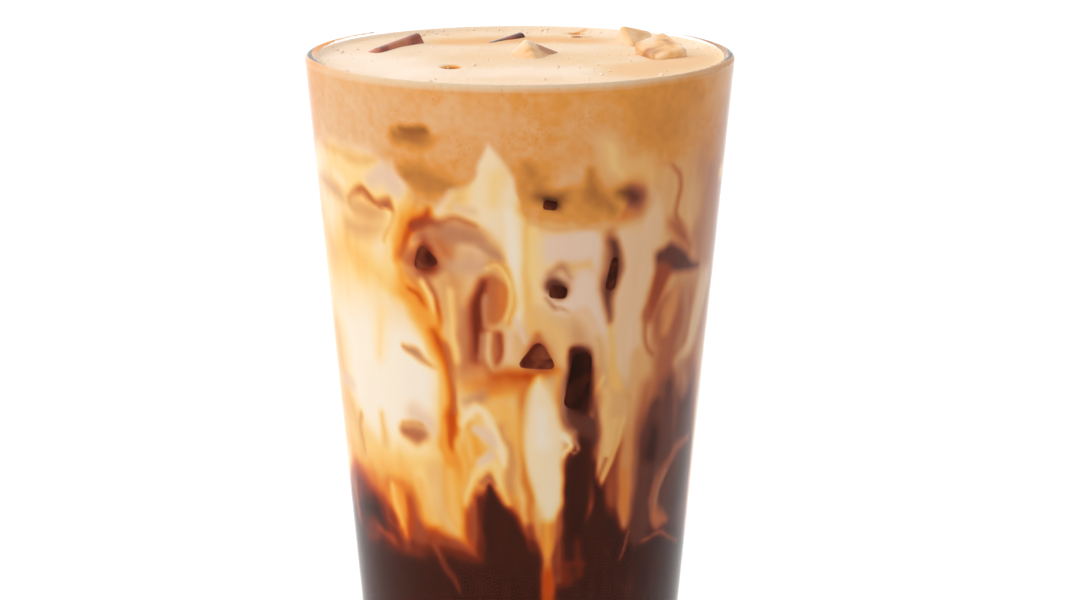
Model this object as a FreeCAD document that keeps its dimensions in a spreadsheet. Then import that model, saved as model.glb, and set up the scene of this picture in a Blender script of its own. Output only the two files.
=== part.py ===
import FreeCAD, Part
import Sketcher
import math
import os

# Iced shaken espresso in its pint glass, as a parametric document.
#
# Units are millimetres, +Z is up, and the origin is the centre of the glass's foot, on the
# surface that the glass stands on. Azimuths are in degrees from the front of the drink (-Y),
# and grow towards +X.

# Every driving dimension: the cell's alias, its value, and what it measures.
SIZES = (
    ("glass_height", 150.0, "foot to lip"),
    ("rim_diameter", 88.6, "across the outside, at the lip"),
    ("foot_diameter", 60.0, "across the outside, at the bottom"),
    ("wall", 2.3, "glass wall at the lip, measured level"),
    ("foot_wall", 3.6, "what the wall thickens to, down at the foot"),
    ("base_thickness", 11.0, "solid glass under the drink"),
    ("lip_radius", 1.1, "rounding of both edges of the lip"),
    ("floor_radius", 7.0, "rounding where the inner wall meets the floor"),
    ("heel_radius", 3.0, "rounding round the outside of the foot"),
    ("punt_depth", 1.8, "how far the middle of the foot is hollowed"),
    ("ring_width", 3.5, "flat ring that the glass stands on"),
    ("punt_slope", 5.0, "width of the slope from the ring up to the punt"),
    ("freeboard", 1.4, "lip down to the top of the foam"),
    ("foam_depth", 25.0, "coffee foam, from its top down to the milk"),
    ("espresso_height", 50.0, "espresso, from the glass's floor up to the milk"),
    ("finger_length", 17.0, "milk sinking into the espresso"),
    ("finger_width", 13.0, "a milk finger where it leaves the milk"),
    ("column_length", 22.0, "espresso rising into the milk"),
    ("column_width", 11.0, "an espresso column where it leaves the espresso"),
    ("plume_length", 12.0, "milk rising into the foam"),
    ("plume_width", 15.0, "a milk plume where it leaves the milk"),
    ("lobe_length", 11.0, "foam hanging into the milk"),
    ("lobe_width", 16.0, "a foam lobe where it leaves the foam"),
    ("tip_share", 0.36, "width of a tongue's tip over the width of its root"),
    ("tongue_inset", 1.5, "the glass's inner face to the axis of a tongue"),
    ("root_overlap", 2.5, "how far a tongue starts inside its own layer"),
    ("ice_rounding", 1.1, "melted edges of the ice"),
)

# Milk, espresso and foam run into each other in tongues round the wall. Each tongue is its
# azimuth, its share of the full length and its share of the full width.
MILK_FINGERS = (
    (-66, 0.75, 0.90), (-38, 1.00, 1.15), (9, 1.20, 0.95), (37, 0.90, 0.75), (82, 0.70, 0.90),
    (118, 1.05, 1.10), (155, 0.80, 0.85), (188, 1.15, 1.05), (222, 0.85, 0.90), (258, 1.00, 1.00),
)
ESPRESSO_COLUMNS = (
    (-84, 0.60, 0.90), (-11, 0.70, 1.20), (22, 1.45, 0.80), (58, 1.50, 1.10), (100, 0.75, 1.00),
    (136, 1.10, 0.90), (172, 0.70, 1.00), (205, 1.20, 0.85), (240, 0.80, 1.10),
)
MILK_PLUMES = (
    (-62, 0.80, 1.10), (-8, 1.30, 1.10), (46, 0.90, 0.90), (92, 0.70, 1.10),
    (131, 1.10, 1.00), (176, 0.80, 1.20), (214, 1.20, 0.95), (254, 0.90, 1.10),
)
FOAM_LOBES = (
    (-31, 0.75, 0.95), (16, 1.10, 1.05), (68, 0.80, 0.90), (112, 1.00, 1.00),
    (153, 0.75, 1.10), (196, 1.10, 0.90), (236, 0.80, 1.05), (276, 0.90, 0.90),
)

# The ice that breaks the surface. Each block has its length, width and depth; the azimuth of
# its middle, the middle's distance from the glass's inner face and its depth under the foam's
# top; and its yaw, pitch and roll.
ICE = {
    "ice_left": ((17.0, 10.0, 11.0), (236.0, 9.4, 5.2), (58.0, -5.0, -26.0)),
    "ice_back": ((14.5, 9.0, 13.0), (189.0, 12.6, 6.9), (52.0, -5.0, -20.0)),
    "ice_centre": ((15.0, 15.0, 15.0), (146.5, 34.9, 8.5), (40.0, 22.0, 40.0)),
    "ice_ridge": ((6.0, 8.0, 10.0), (158.5, 8.0, 5.4), (10.0, 4.0, -26.0)),
    "ice_rear": ((7.5, 8.5, 8.0), (135.0, 7.8, 2.3), (24.0, 14.0, 26.0)),
    "ice_right": ((10.0, 7.5, 11.0), (103.0, 11.4, 2.8), (-60.0, 14.0, 16.0)),
}
ICE_CELLS = (
    ("long", "wide", "deep"),
    ("azimuth", "inset", "sunk"),
    ("yaw", "pitch", "roll"),
)

# Expressions in the spreadsheet's cells that several pieces share.
TAPER = "((Sizes.rim_diameter - Sizes.foot_diameter) / 2 / Sizes.glass_height)"
THICKENING = "((Sizes.foot_wall - Sizes.wall) / Sizes.glass_height)"
FLOOR = "Sizes.base_thickness"
DRINK_TOP = "(Sizes.glass_height - Sizes.freeboard)"
FOAM_BASE = f"({DRINK_TOP} - Sizes.foam_depth)"
ESPRESSO_TOP = f"({FLOOR} + Sizes.espresso_height)"

doc = FreeCAD.newDocument("IcedShakenEspresso")
sheet = doc.addObject("Spreadsheet::Sheet", "Sizes")


def fill_sheet():
    """Writes the driving dimensions into the spreadsheet, one row each."""
    rows = list(SIZES)
    for name, triples in ICE.items():
        for cells, values in zip(ICE_CELLS, triples):
            rows += [(f"{name}_{cell}", value, "") for cell, value in zip(cells, values)]
    for row, (alias, value, meaning) in enumerate(rows, start=1):
        sheet.set(f"A{row}", meaning or alias)
        sheet.set(f"B{row}", str(value))
        sheet.setAlias(f"B{row}", alias)
    doc.recompute()


def value_of(expression):
    """The number that an expression in the spreadsheet's cells comes to now."""
    return float(sheet.evalExpression(expression))


def outer_radius(height):
    """Expression for the glass's outer radius at a height."""
    return f"(Sizes.foot_diameter / 2 + {TAPER} * {height})"


def inner_radius(height):
    """Expression for the glass's inner radius, which is also the drink's, at a height."""
    thickness = f"(Sizes.foot_wall - {THICKENING} * {height})"
    return f"({outer_radius(height)} - {thickness})"


def placed(x, y, z, yaw, pitch, roll):
    """Expression for a placement."""
    point = f"create(<<vector>>; {x}; {y}; {z})"
    turn = f"create(<<rotation>>; {yaw}; {pitch}; {roll})"
    return f"create(<<placement>>; {point}; {turn})"


def turned_body(name, outline):
    """A body turned about Z from its outline's corners, each a radius and a height."""
    body = doc.addObject("PartDesign::Body", name)
    body.Label = name
    sketch = body.newObject("Sketcher::SketchObject", f"{name}_outline")
    planes = {plane.Role: plane for plane in body.Origin.OriginFeatures}
    sketch.AttachmentSupport = (planes["XZ_Plane"], "")
    sketch.MapMode = "FlatFace"
    corners = [(value_of(radius), value_of(height)) for radius, height in outline]
    points = [FreeCAD.Vector(*corner, 0) for corner in corners]
    for start, end in zip(points, points[1:] + points[:1]):
        sketch.addGeometry(Part.LineSegment(start, end), False)
    for index, corner in enumerate(corners):
        before = (index - 1) % len(corners)
        sketch.addConstraint(Sketcher.Constraint("Coincident", before, 2, index, 1))
        for kind, expression, number in zip(("DistanceX", "DistanceY"), outline[index], corner):
            row = sketch.addConstraint(Sketcher.Constraint(kind, -1, 1, index, 1, number))
            sketch.setExpression(f"Constraints[{row}]", expression)
    turned = body.newObject("PartDesign::Revolution", f"{name}_turned")
    turned.Profile = sketch
    turned.ReferenceAxis = (sketch, ["V_Axis"])
    turned.Angle = 360
    doc.recompute()
    return body


def round_circles(body, name, places, radius):
    """Rounds the circular edges of a turned body that lie at these radii and heights."""
    base = body.Tip
    wanted = [(value_of(across), value_of(height)) for across, height in places]
    edges = []
    for number, edge in enumerate(base.Shape.Edges, start=1):
        if isinstance(edge.Curve, Part.Circle):
            circle = (edge.Curve.Radius, edge.Curve.Center.z)
            if any(math.dist(circle, place) < 0.01 for place in wanted):
                edges.append(f"Edge{number}")
    fillet = body.newObject("PartDesign::Fillet", f"{body.Name}_{name}")
    fillet.Base = (base, edges)
    fillet.setExpression("Radius", radius)
    doc.recompute()


def make_glass():
    """The conical pint glass: thick base, punt inside a standing ring, rounded lip."""
    ring_inner = "(Sizes.foot_diameter / 2 - Sizes.heel_radius - Sizes.ring_width)"
    outline = (
        (ring_inner, "0"),
        (outer_radius("0"), "0"),
        (outer_radius("Sizes.glass_height"), "Sizes.glass_height"),
        (inner_radius("Sizes.glass_height"), "Sizes.glass_height"),
        (inner_radius(FLOOR), FLOOR),
        ("0", FLOOR),
        ("0", "Sizes.punt_depth"),
        (f"({ring_inner} - Sizes.punt_slope)", "Sizes.punt_depth"),
    )
    glass = turned_body("glass", outline)
    round_circles(glass, "lip", outline[2:4], "min(Sizes.lip_radius; Sizes.wall * 0.48)")
    round_circles(glass, "floor", outline[4:5], "Sizes.floor_radius")
    round_circles(glass, "heel", outline[1:2], "Sizes.heel_radius")
    return glass


def make_contents():
    """All that fills the glass, on its wall and floor, up to the top of the foam."""
    outline = (
        ("0", FLOOR),
        (inner_radius(FLOOR), FLOOR),
        (inner_radius(DRINK_TOP), DRINK_TOP),
        ("0", DRINK_TOP),
    )
    contents = turned_body("contents", outline)
    round_circles(contents, "floor", outline[1:2], "Sizes.floor_radius")
    return contents


def make_ice(name):
    """A melted block of ice, tilted, with its middle under the foam's top."""
    block = doc.addObject("PartDesign::Body", name)
    block.Label = name
    box = block.newObject("PartDesign::AdditiveBox", f"{name}_box")
    for side, cell, axis in zip(("Length", "Width", "Height"), ICE_CELLS[0], "xyz"):
        box.setExpression(side, f"Sizes.{name}_{cell}")
        box.setExpression(f"Placement.Base.{axis}", f"-Sizes.{name}_{cell} / 2")
    doc.recompute()
    melted = block.newObject("PartDesign::Fillet", f"{name}_melted")
    melted.Base = (box, [""])
    melted.UseAllEdges = True
    melted.setExpression("Radius", "Sizes.ice_rounding")
    ring = f"({inner_radius(DRINK_TOP)} - Sizes.{name}_inset)"
    x = f"{ring} * sin(Sizes.{name}_azimuth)"
    y = f"-{ring} * cos(Sizes.{name}_azimuth)"
    z = f"{DRINK_TOP} - Sizes.{name}_sunk"
    turns = [f"Sizes.{name}_{cell}" for cell in ICE_CELLS[2]]
    block.setExpression("Placement", placed(x, y, z, *turns))
    return block


def slab(name, bottom, top):
    """A cylinder wider than the drink, between two heights."""
    cylinder = doc.addObject("Part::Cylinder", name)
    cylinder.setExpression("Radius", "Sizes.rim_diameter")
    cylinder.setExpression("Height", f"{top} - {bottom}")
    cylinder.setExpression("Placement.Base.z", bottom)
    return cylinder


def boolean(kind, name, **inputs):
    """A Part boolean of other objects of the document."""
    result = doc.addObject(f"Part::{kind}", name)
    for role, value in inputs.items():
        setattr(result, role, value)
    return result


def tongue(name, azimuth, root_height, upward, long, wide):
    """A tapering tongue with a round tip, along the wall, from root_height up or down.

    It starts root_overlap behind that height, so that it is one with its own layer.
    """
    length = f"({long} + Sizes.root_overlap)"
    root = f"({wide} / 2)"
    tip = f"({root} * Sizes.tip_share)"
    narrowing = f"atan(({root} - {tip}) / {length})"
    cone = doc.addObject("Part::Cone", f"{name}_cone")
    cone.setExpression("Radius1", root)
    cone.setExpression("Radius2", tip)
    cone.setExpression("Height", length)
    ball = doc.addObject("Part::Sphere", f"{name}_ball")
    ball.setExpression("Radius", f"{tip} / cos({narrowing})")
    ball.setExpression("Placement.Base.z", f"{length} - {tip} * tan({narrowing})")
    whole = boolean("Fuse", name, Base=cone, Tool=ball)
    start = f"({root_height} {'-' if upward else '+'} Sizes.root_overlap)"
    ring = f"({inner_radius(start)} - Sizes.tongue_inset)"
    lean = f"atan({TAPER} + {THICKENING})"
    pitch = lean if upward else f"180 deg + {lean}"
    x = f"{ring} * sin({azimuth})"
    y = f"-{ring} * cos({azimuth})"
    whole.setExpression("Placement", placed(x, y, start, azimuth - 90, pitch, 0))
    return whole


def tongues(kind, places, root_height, upward):
    """Every tongue of one kind, from its places and the cells KIND_length and KIND_width."""
    return [
        tongue(
            f"{kind}_{number}",
            azimuth,
            root_height,
            upward,
            f"Sizes.{kind}_length * {length_share}",
            f"Sizes.{kind}_width * {width_share}",
        )
        for number, (azimuth, length_share, width_share) in enumerate(places, start=1)
    ]


def make_layers(contents, ice):
    """Espresso, milk and foam: three solids that fill the glass and meet face to face."""
    fingers = tongues("finger", MILK_FINGERS, ESPRESSO_TOP, upward=False)
    columns = tongues("column", ESPRESSO_COLUMNS, ESPRESSO_TOP, upward=True)
    plumes = tongues("plume", MILK_PLUMES, FOAM_BASE, upward=True)
    lobes = tongues("lobe", FOAM_LOBES, FOAM_BASE, upward=False)
    low = slab("espresso_slab", "0", ESPRESSO_TOP)
    high = slab("foam_slab", FOAM_BASE, "Sizes.glass_height")

    layers = []
    for name, shapes, takers in (
        ("espresso", [low, *columns], fingers),
        ("coffee_foam", [high, *lobes], plumes),
    ):
        spread = boolean("MultiFuse", f"{name}_spread", Shapes=shapes)
        taken = boolean("MultiFuse", f"{name}_taken", Shapes=takers)
        left = boolean("Cut", f"{name}_left", Base=spread, Tool=taken)
        layers.append(boolean("Common", f"{name}_layer", Base=contents, Tool=left))
    espresso, foam = layers
    above = boolean("Cut", "above_espresso", Base=contents, Tool=espresso)
    milk = boolean("Cut", "milk_layer", Base=above, Tool=foam)

    blocks = boolean("MultiFuse", "all_ice", Shapes=ice)
    foam_round_ice = boolean("Cut", "coffee_foam", Base=foam, Tool=blocks)
    milk_round_ice = boolean("Cut", "milk", Base=milk, Tool=blocks)
    espresso.Label = "espresso"
    foam_round_ice.Label = "coffee_foam"
    milk_round_ice.Label = "milk"
    return [espresso, milk_round_ice, foam_round_ice]


def export(pieces):
    """Checks every object of the document, then writes each piece to parts/."""
    doc.recompute()
    failed = [o.Name for o in doc.Objects if {"Invalid", "Error"} & set(o.State)]
    if failed:
        raise RuntimeError(f"failed objects: {failed}")
    for piece in pieces:
        shape = piece.Shape
        if shape.isNull() or not shape.isValid() or len(shape.Solids) != 1:
            raise RuntimeError(f"{piece.Label}: {len(shape.Solids)} solids, not one valid solid")
    os.makedirs("parts", exist_ok=True)
    for piece in pieces:
        piece.Shape.exportStep(f"parts/{piece.Label}.step")
        print(f"{piece.Label}: {piece.Shape.Volume / 1000:.2f} cm3")


fill_sheet()
glass = make_glass()
contents = make_contents()
ice = [make_ice(name) for name in ICE]
export([glass, *make_layers(contents, ice), *ice])
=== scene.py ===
"""The looks of an iced shaken espresso in its glass, laid out as a Blender add-on."""

import math
import random

import bpy
import numpy as np
from mathutils import Matrix, Vector


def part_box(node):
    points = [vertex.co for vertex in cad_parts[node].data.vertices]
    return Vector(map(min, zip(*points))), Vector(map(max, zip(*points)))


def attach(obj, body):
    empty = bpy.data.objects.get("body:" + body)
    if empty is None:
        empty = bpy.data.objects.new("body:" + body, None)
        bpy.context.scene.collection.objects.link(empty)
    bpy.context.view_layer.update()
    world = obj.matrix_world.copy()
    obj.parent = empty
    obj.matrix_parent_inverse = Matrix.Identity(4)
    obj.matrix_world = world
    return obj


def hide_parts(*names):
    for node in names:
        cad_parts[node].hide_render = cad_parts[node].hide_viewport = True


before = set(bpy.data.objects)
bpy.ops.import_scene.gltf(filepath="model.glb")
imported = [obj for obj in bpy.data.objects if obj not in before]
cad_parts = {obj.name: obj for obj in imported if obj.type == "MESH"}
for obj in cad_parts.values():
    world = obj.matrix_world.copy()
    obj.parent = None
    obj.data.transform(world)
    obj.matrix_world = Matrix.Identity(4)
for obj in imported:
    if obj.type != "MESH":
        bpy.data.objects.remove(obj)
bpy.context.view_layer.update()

bl_info = {
    "name": "Iced Shaken Espresso",
    "version": (1, 0, 0),
    "blender": (4, 5, 0),
    "location": "3D View > Sidebar > Iced Drink",
    "description": "Builds a marbled iced coffee in its glass, with froth, ice and bubbles",
    "category": "Object",
}

MM = 0.001
BODY = "root"

# The drink's levels and radii, in mm above the table and from the axis.
DRINK_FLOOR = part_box("espresso")[0].z / MM
DRINK_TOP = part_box("coffee_foam")[1].z / MM
RIM_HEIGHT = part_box("glass")[1].z / MM
TOP_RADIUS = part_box("coffee_foam")[1].x / MM
FLOOR_RADIUS = 27.54  # the inner wall's line carried down to the floor
FLOOR_ROUND = 6.6  # the round between the inner wall and the floor
ESPRESSO_TOP = 61.0  # where the espresso's piece ends and the milk's begins
FOAM_BASE = 123.6  # where the milk's piece ends and the foam's begins

SEGMENTS = 480  # round the drink's side, 0.55 mm apart at the top
ROW = 0.55  # mm between rows of vertices up the side
FOAM_ROW = 0.45
SURFACE_STEP = 0.62  # mm between the rings of the froth's surface
SURFACE_RINGS = 66
FLOOR_GAP = 0.02  # mm between the drink and the glass's floor
PRESS = 0.15  # mm the drink reaches into the wall, so that no air shows between them
TOUCH = 1e-6  # m within which two heights are the same


def wall(height):
    """The inner wall's radius in mm at a height in mm."""
    return FLOOR_RADIUS + (TOP_RADIUS - FLOOR_RADIUS) * (height - DRINK_FLOOR) / (DRINK_TOP - DRINK_FLOOR)


def linear(code):
    """An sRGB hex colour as linear values."""
    parts = [int(code[i : i + 2], 16) / 255 for i in (1, 3, 5)]
    return tuple(p / 12.92 if p <= 0.04045 else ((p + 0.055) / 1.055) ** 2.4 for p in parts)


def colour(name, description, code):
    return bpy.props.FloatVectorProperty(
        name=name, description=description, subtype="COLOR", size=3, min=0, max=1, default=linear(code)
    )


def size(name, description, value, low=0.0, high=1.0):
    """A length kept in metres, given here in mm."""
    return bpy.props.FloatProperty(
        name=name, description=description, default=value * MM, min=low * MM, max=high * MM,
        subtype="DISTANCE", unit="LENGTH", precision=5,
    )


def share(name, description, value, low=0.0, high=1.0):
    return bpy.props.FloatProperty(name=name, description=description, default=value, min=low, max=high)


def turn(name, description, degrees):
    return bpy.props.FloatProperty(
        name=name, description=description, default=math.radians(degrees), subtype="ANGLE", unit="ROTATION"
    )


class GlassLook(bpy.types.PropertyGroup):
    """The tumbler's finish."""

    tint: colour("Tint", "What clear soda-lime glass does to white light", "#FBFCFA")
    roughness: share("Roughness", "Fire-polished glass is nearly mirror smooth", 0.015)
    ior: share("IOR", "Refraction, low enough that the glass does not veil the drink", 1.25, 1.1, 1.8)


class DrinkLook(bpy.types.PropertyGroup):
    """Colours of the marbled drink, from milk to black coffee."""

    milk: colour("Milk", "Cold milk against the glass", "#F6EBDD")
    cream: colour("Cream", "Milk with a little coffee", "#FAE3BC")
    butter: colour("Butter", "Milk warmed by thin coffee", "#F9D183")
    honey: colour("Honey", "Thin coffee with light behind it", "#F7B048")
    orange: colour("Orange", "Thin coffee over milk", "#EE8420")
    rust: colour("Rust", "Coffee running through milk", "#CC4C12")
    mahogany: colour("Mahogany", "Strong coffee near the wall", "#86290E")
    coffee: colour("Coffee", "Espresso", "#4C1A0D")
    black: colour("Black coffee", "Espresso in its depth", "#2A120C")
    # Cloudy milk, blush, tan, mauve and murk make the dull ramp, which also paints the shade on the drink's
    # right side.
    cloud: colour("Cloudy milk", "Milk in shade", "#F1DAC6")
    blush: colour("Blush", "Milk clouded with coffee", "#E6B690")
    tan: colour("Tan", "Coffee clouded with milk", "#BC8262")
    mauve: colour("Mauve", "Dark coffee behind a veil of milk", "#6C3E31")
    murk: colour("Murk", "The darkest clouded coffee", "#2E1C18")


class FoamLook(bpy.types.PropertyGroup):
    """The shaken foam on top of the drink."""

    pale: colour("Pale froth", "Dry froth on the surface", "#F4E2D0")
    froth: colour("Froth", "Wet froth", "#EBCDA8")
    crema: colour("Crema", "Foam against the glass", "#E79B49")
    brown: colour("Brown foam", "Foam soaked with coffee", "#AE6A34")
    deep: colour("Deep brown foam", "Coffee seen through foam", "#583622")
    meniscus: size("Meniscus", "How far the froth climbs the glass", 0.95, 0, 1.3)
    ripple: size("Ripple", "How far the froth's surface rises and falls", 0.35, 0, 2)
    bubbles: bpy.props.IntProperty(
        name="Bubbles", description="Bubbles that stand on the froth", default=300, min=1, max=2000
    )


class IceLook(bpy.types.PropertyGroup):
    """Melting ice cubes, at the surface and under it."""

    clear: colour("Wet ice", "Ice wetted with thin coffee", "#E6B06A")
    amber: colour("Amber ice", "Ice with coffee behind it", "#B9763C")
    brick: colour("Pale stained ice", "Where a stained cube stands clear of the coffee", "#BC6E50")
    stained: colour("Stained ice", "Ice soaked in coffee", "#94482C")
    depth: colour("Dark ice", "The darkest place in a stained cube", "#4A2014")
    shadow: colour("Ice window", "Coffee seen through a sunk cube's face", "#6E2C1C")
    melt: size("Melted edge", "Rounding of a sunk cube's edges", 1.5, 0, 5)


class StageLook(bpy.types.PropertyGroup):
    """The floor, the light and the camera."""

    floor: colour("Floor", "A plain white table", "#FFFFFF")
    bright: share("Bright side", "Light from the left", 1.65, 0, 5)
    dim: share("Dim side", "Light from the right, as a share of the bright side", 0.26)
    top: bpy.props.FloatProperty(
        name="Top light", description="Power of the softbox above", default=2.0, min=0, unit="POWER"
    )
    lens: bpy.props.FloatProperty(
        name="Lens", description="Focal length", default=147.4, min=10, max=300, unit="CAMERA"
    )
    distance: size("Distance", "From the camera to the middle of the rim", 900.0, 100, 5000)
    elevation: turn("Elevation", "Camera's angle over the rim", 8.45)
    pitch: turn("Pitch", "How far the camera looks down", 11.69)
    aside: size("Aside", "How far the camera stands to the right", 2.8, -100, 100)


LOOKS = (GlassLook, DrinkLook, FoamLook, IceLook, StageLook)


def looks(name):
    return getattr(bpy.context.scene, "iced_drink_" + name)


# ---- Small tools -------------------------------------------------------------------------------


def clear_selection():
    if bpy.context.mode != "OBJECT":
        bpy.ops.object.mode_set(mode="OBJECT")
    bpy.ops.object.select_all(action="DESELECT")


def activate(piece):
    clear_selection()
    piece.select_set(True)
    bpy.context.view_layer.objects.active = piece


def coordinates(piece):
    co = np.zeros(len(piece.data.vertices) * 3)
    piece.data.vertices.foreach_get("co", co)
    return co.reshape(-1, 3)


def put(piece, co):
    piece.data.vertices.foreach_set("co", np.ascontiguousarray(co).ravel())
    piece.data.update()


def choose(piece, kind, chosen=None):
    """Opens the piece in edit mode with its chosen vertices, edges or faces selected, or all."""
    activate(piece)
    bpy.ops.object.mode_set(mode="EDIT")
    bpy.ops.mesh.select_mode(type=kind)
    bpy.ops.mesh.select_all(action="DESELECT")
    bpy.ops.object.mode_set(mode="OBJECT")
    mesh = piece.data
    items = {"VERT": mesh.vertices, "EDGE": mesh.edges, "FACE": mesh.polygons}[kind]
    if chosen is None:
        chosen = np.ones(len(items), bool)
    items.foreach_set("select", np.ascontiguousarray(chosen, dtype=bool))
    bpy.ops.object.mode_set(mode="EDIT")


def leave_edit():
    bpy.ops.object.mode_set(mode="OBJECT")


def edge_heights(piece):
    """The heights in metres of each edge's two ends."""
    ends = np.zeros(len(piece.data.edges) * 2, int)
    piece.data.edges.foreach_get("vertices", ends)
    return coordinates(piece)[ends.reshape(-1, 2), 2]


def outward(piece):
    """Merges doubles, then turns every face outward."""
    choose(piece, "VERT")
    bpy.ops.mesh.remove_doubles(threshold=TOUCH)
    bpy.ops.mesh.normals_make_consistent(inside=False)
    leave_edit()


def settle(piece):
    """Moves the piece's place into its mesh."""
    activate(piece)
    bpy.ops.object.transform_apply(location=True, rotation=True, scale=True)


def join(pieces):
    clear_selection()
    for piece in pieces:
        piece.select_set(True)
    bpy.context.view_layer.objects.active = pieces[0]
    bpy.ops.object.join()
    return pieces[0]


def hand_over(piece, name, material, crease=180):
    """Names, shades and seats a finished piece in the frame. Edges over `crease` degrees stay sharp."""
    piece.name = piece.data.name = name
    activate(piece)
    bpy.ops.object.shade_smooth_by_angle(angle=math.radians(crease))
    piece.data.materials.clear()
    piece.data.materials.append(material)
    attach(piece, BODY)
    clear_selection()


def paint(piece, values):
    """Writes numbers at the piece's vertices, each set under its name, for materials to read."""
    for name, value in values.items():
        layer = piece.data.attributes.new(name, "FLOAT", "POINT")
        layer.data.foreach_set("value", np.ascontiguousarray(value, dtype=np.float32))


def new_material(name):
    """A material with no nodes but the piece's own coordinates: the material, its tree and a link."""
    material = bpy.data.materials.new(name)
    material.use_nodes = True
    tree = material.node_tree
    tree.nodes.clear()
    return material, tree, {"Vector": (add(tree, "ShaderNodeTexCoord"), "Object")}


def add(tree, kind, settings=None, links=None):
    """Adds a node, sets its values and properties, and links its inputs: {input: (node, output)}."""
    node = tree.nodes.new(kind)
    for key, value in (settings or {}).items():
        if isinstance(key, str) and hasattr(node, key):
            setattr(node, key, value)
        else:
            node.inputs[key].default_value = value
    for key, (source, output) in (links or {}).items():
        tree.links.new(source.outputs[output], node.inputs[key])
    return node


def fill_ramp(node, stops):
    """Gives a colour ramp its stops: (position, linear colour)."""
    elements = node.color_ramp.elements
    while len(elements) < len(stops):
        elements.new(1.0)
    for element, (position, value) in zip(elements, stops):
        element.position = position
        element.color = (*value, 1.0)
    return node


# A Mix node's colour inputs and output, which share their names with its other sockets.
COLOUR_A, COLOUR_B, MIXED = 6, 7, 2


# ---- The marbling of the drink -----------------------------------------------------------------
# Every place is (angle, height, half-width): degrees round the glass from its front, positive to
# the right, millimetres above the table, and millimetres to either side of the stroke's line.
# An ink is (strength, dullness): strength runs from milk, 0, to coffee, 1, and dullness from the
# warm colours of thin coffee, 0, to the grey-brown ones of coffee clouded with milk, 1.

WALL_RADIUS = 38.0  # mm, where a millimetre along a stroke is measured
COFFEE_LINE = 57  # mm above the table, where coffee gives way to milk if no stroke says otherwise
SOFTEN = 1.3  # how much softer a drifting stroke's edge is than its own softness
CURVE_STEPS = 4  # points on a stroke's curve from one of its places to the next
THINNEST = 0.05  # mm, the half-width of a stroke's finest end
FOAM_SHADE = 0.46  # the foam's shade where no patch says otherwise

INKS = {
    "milk": (0.02, 0.0),
    "cloudy milk": (0.07, 1.0),
    "cream": (0.12, 0.1),
    "grey cream": (0.13, 0.95),
    "blush": (0.2, 0.75),
    "butter": (0.22, 0.0),
    "gold": (0.3, 0.3),
    "honey": (0.33, 0.05),
    "pink": (0.33, 0.95),
    "tan": (0.36, 0.55),
    "olive": (0.44, 0.5),
    "rose": (0.48, 0.88),
    "orange": (0.43, 0.0),
    "amber": (0.52, 0.2),
    "brick": (0.57, 0.45),
    "rust": (0.62, 0.0),
    "brown": (0.6, 0.6),
    "red brown": (0.68, 0.4),
    "mahogany": (0.76, 0.25),
    "mauve": (0.78, 0.9),
    "coffee": (0.93, 0.4),
    "murky": (0.88, 0.9),
    "black": (0.98, 0.7),
}

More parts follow.
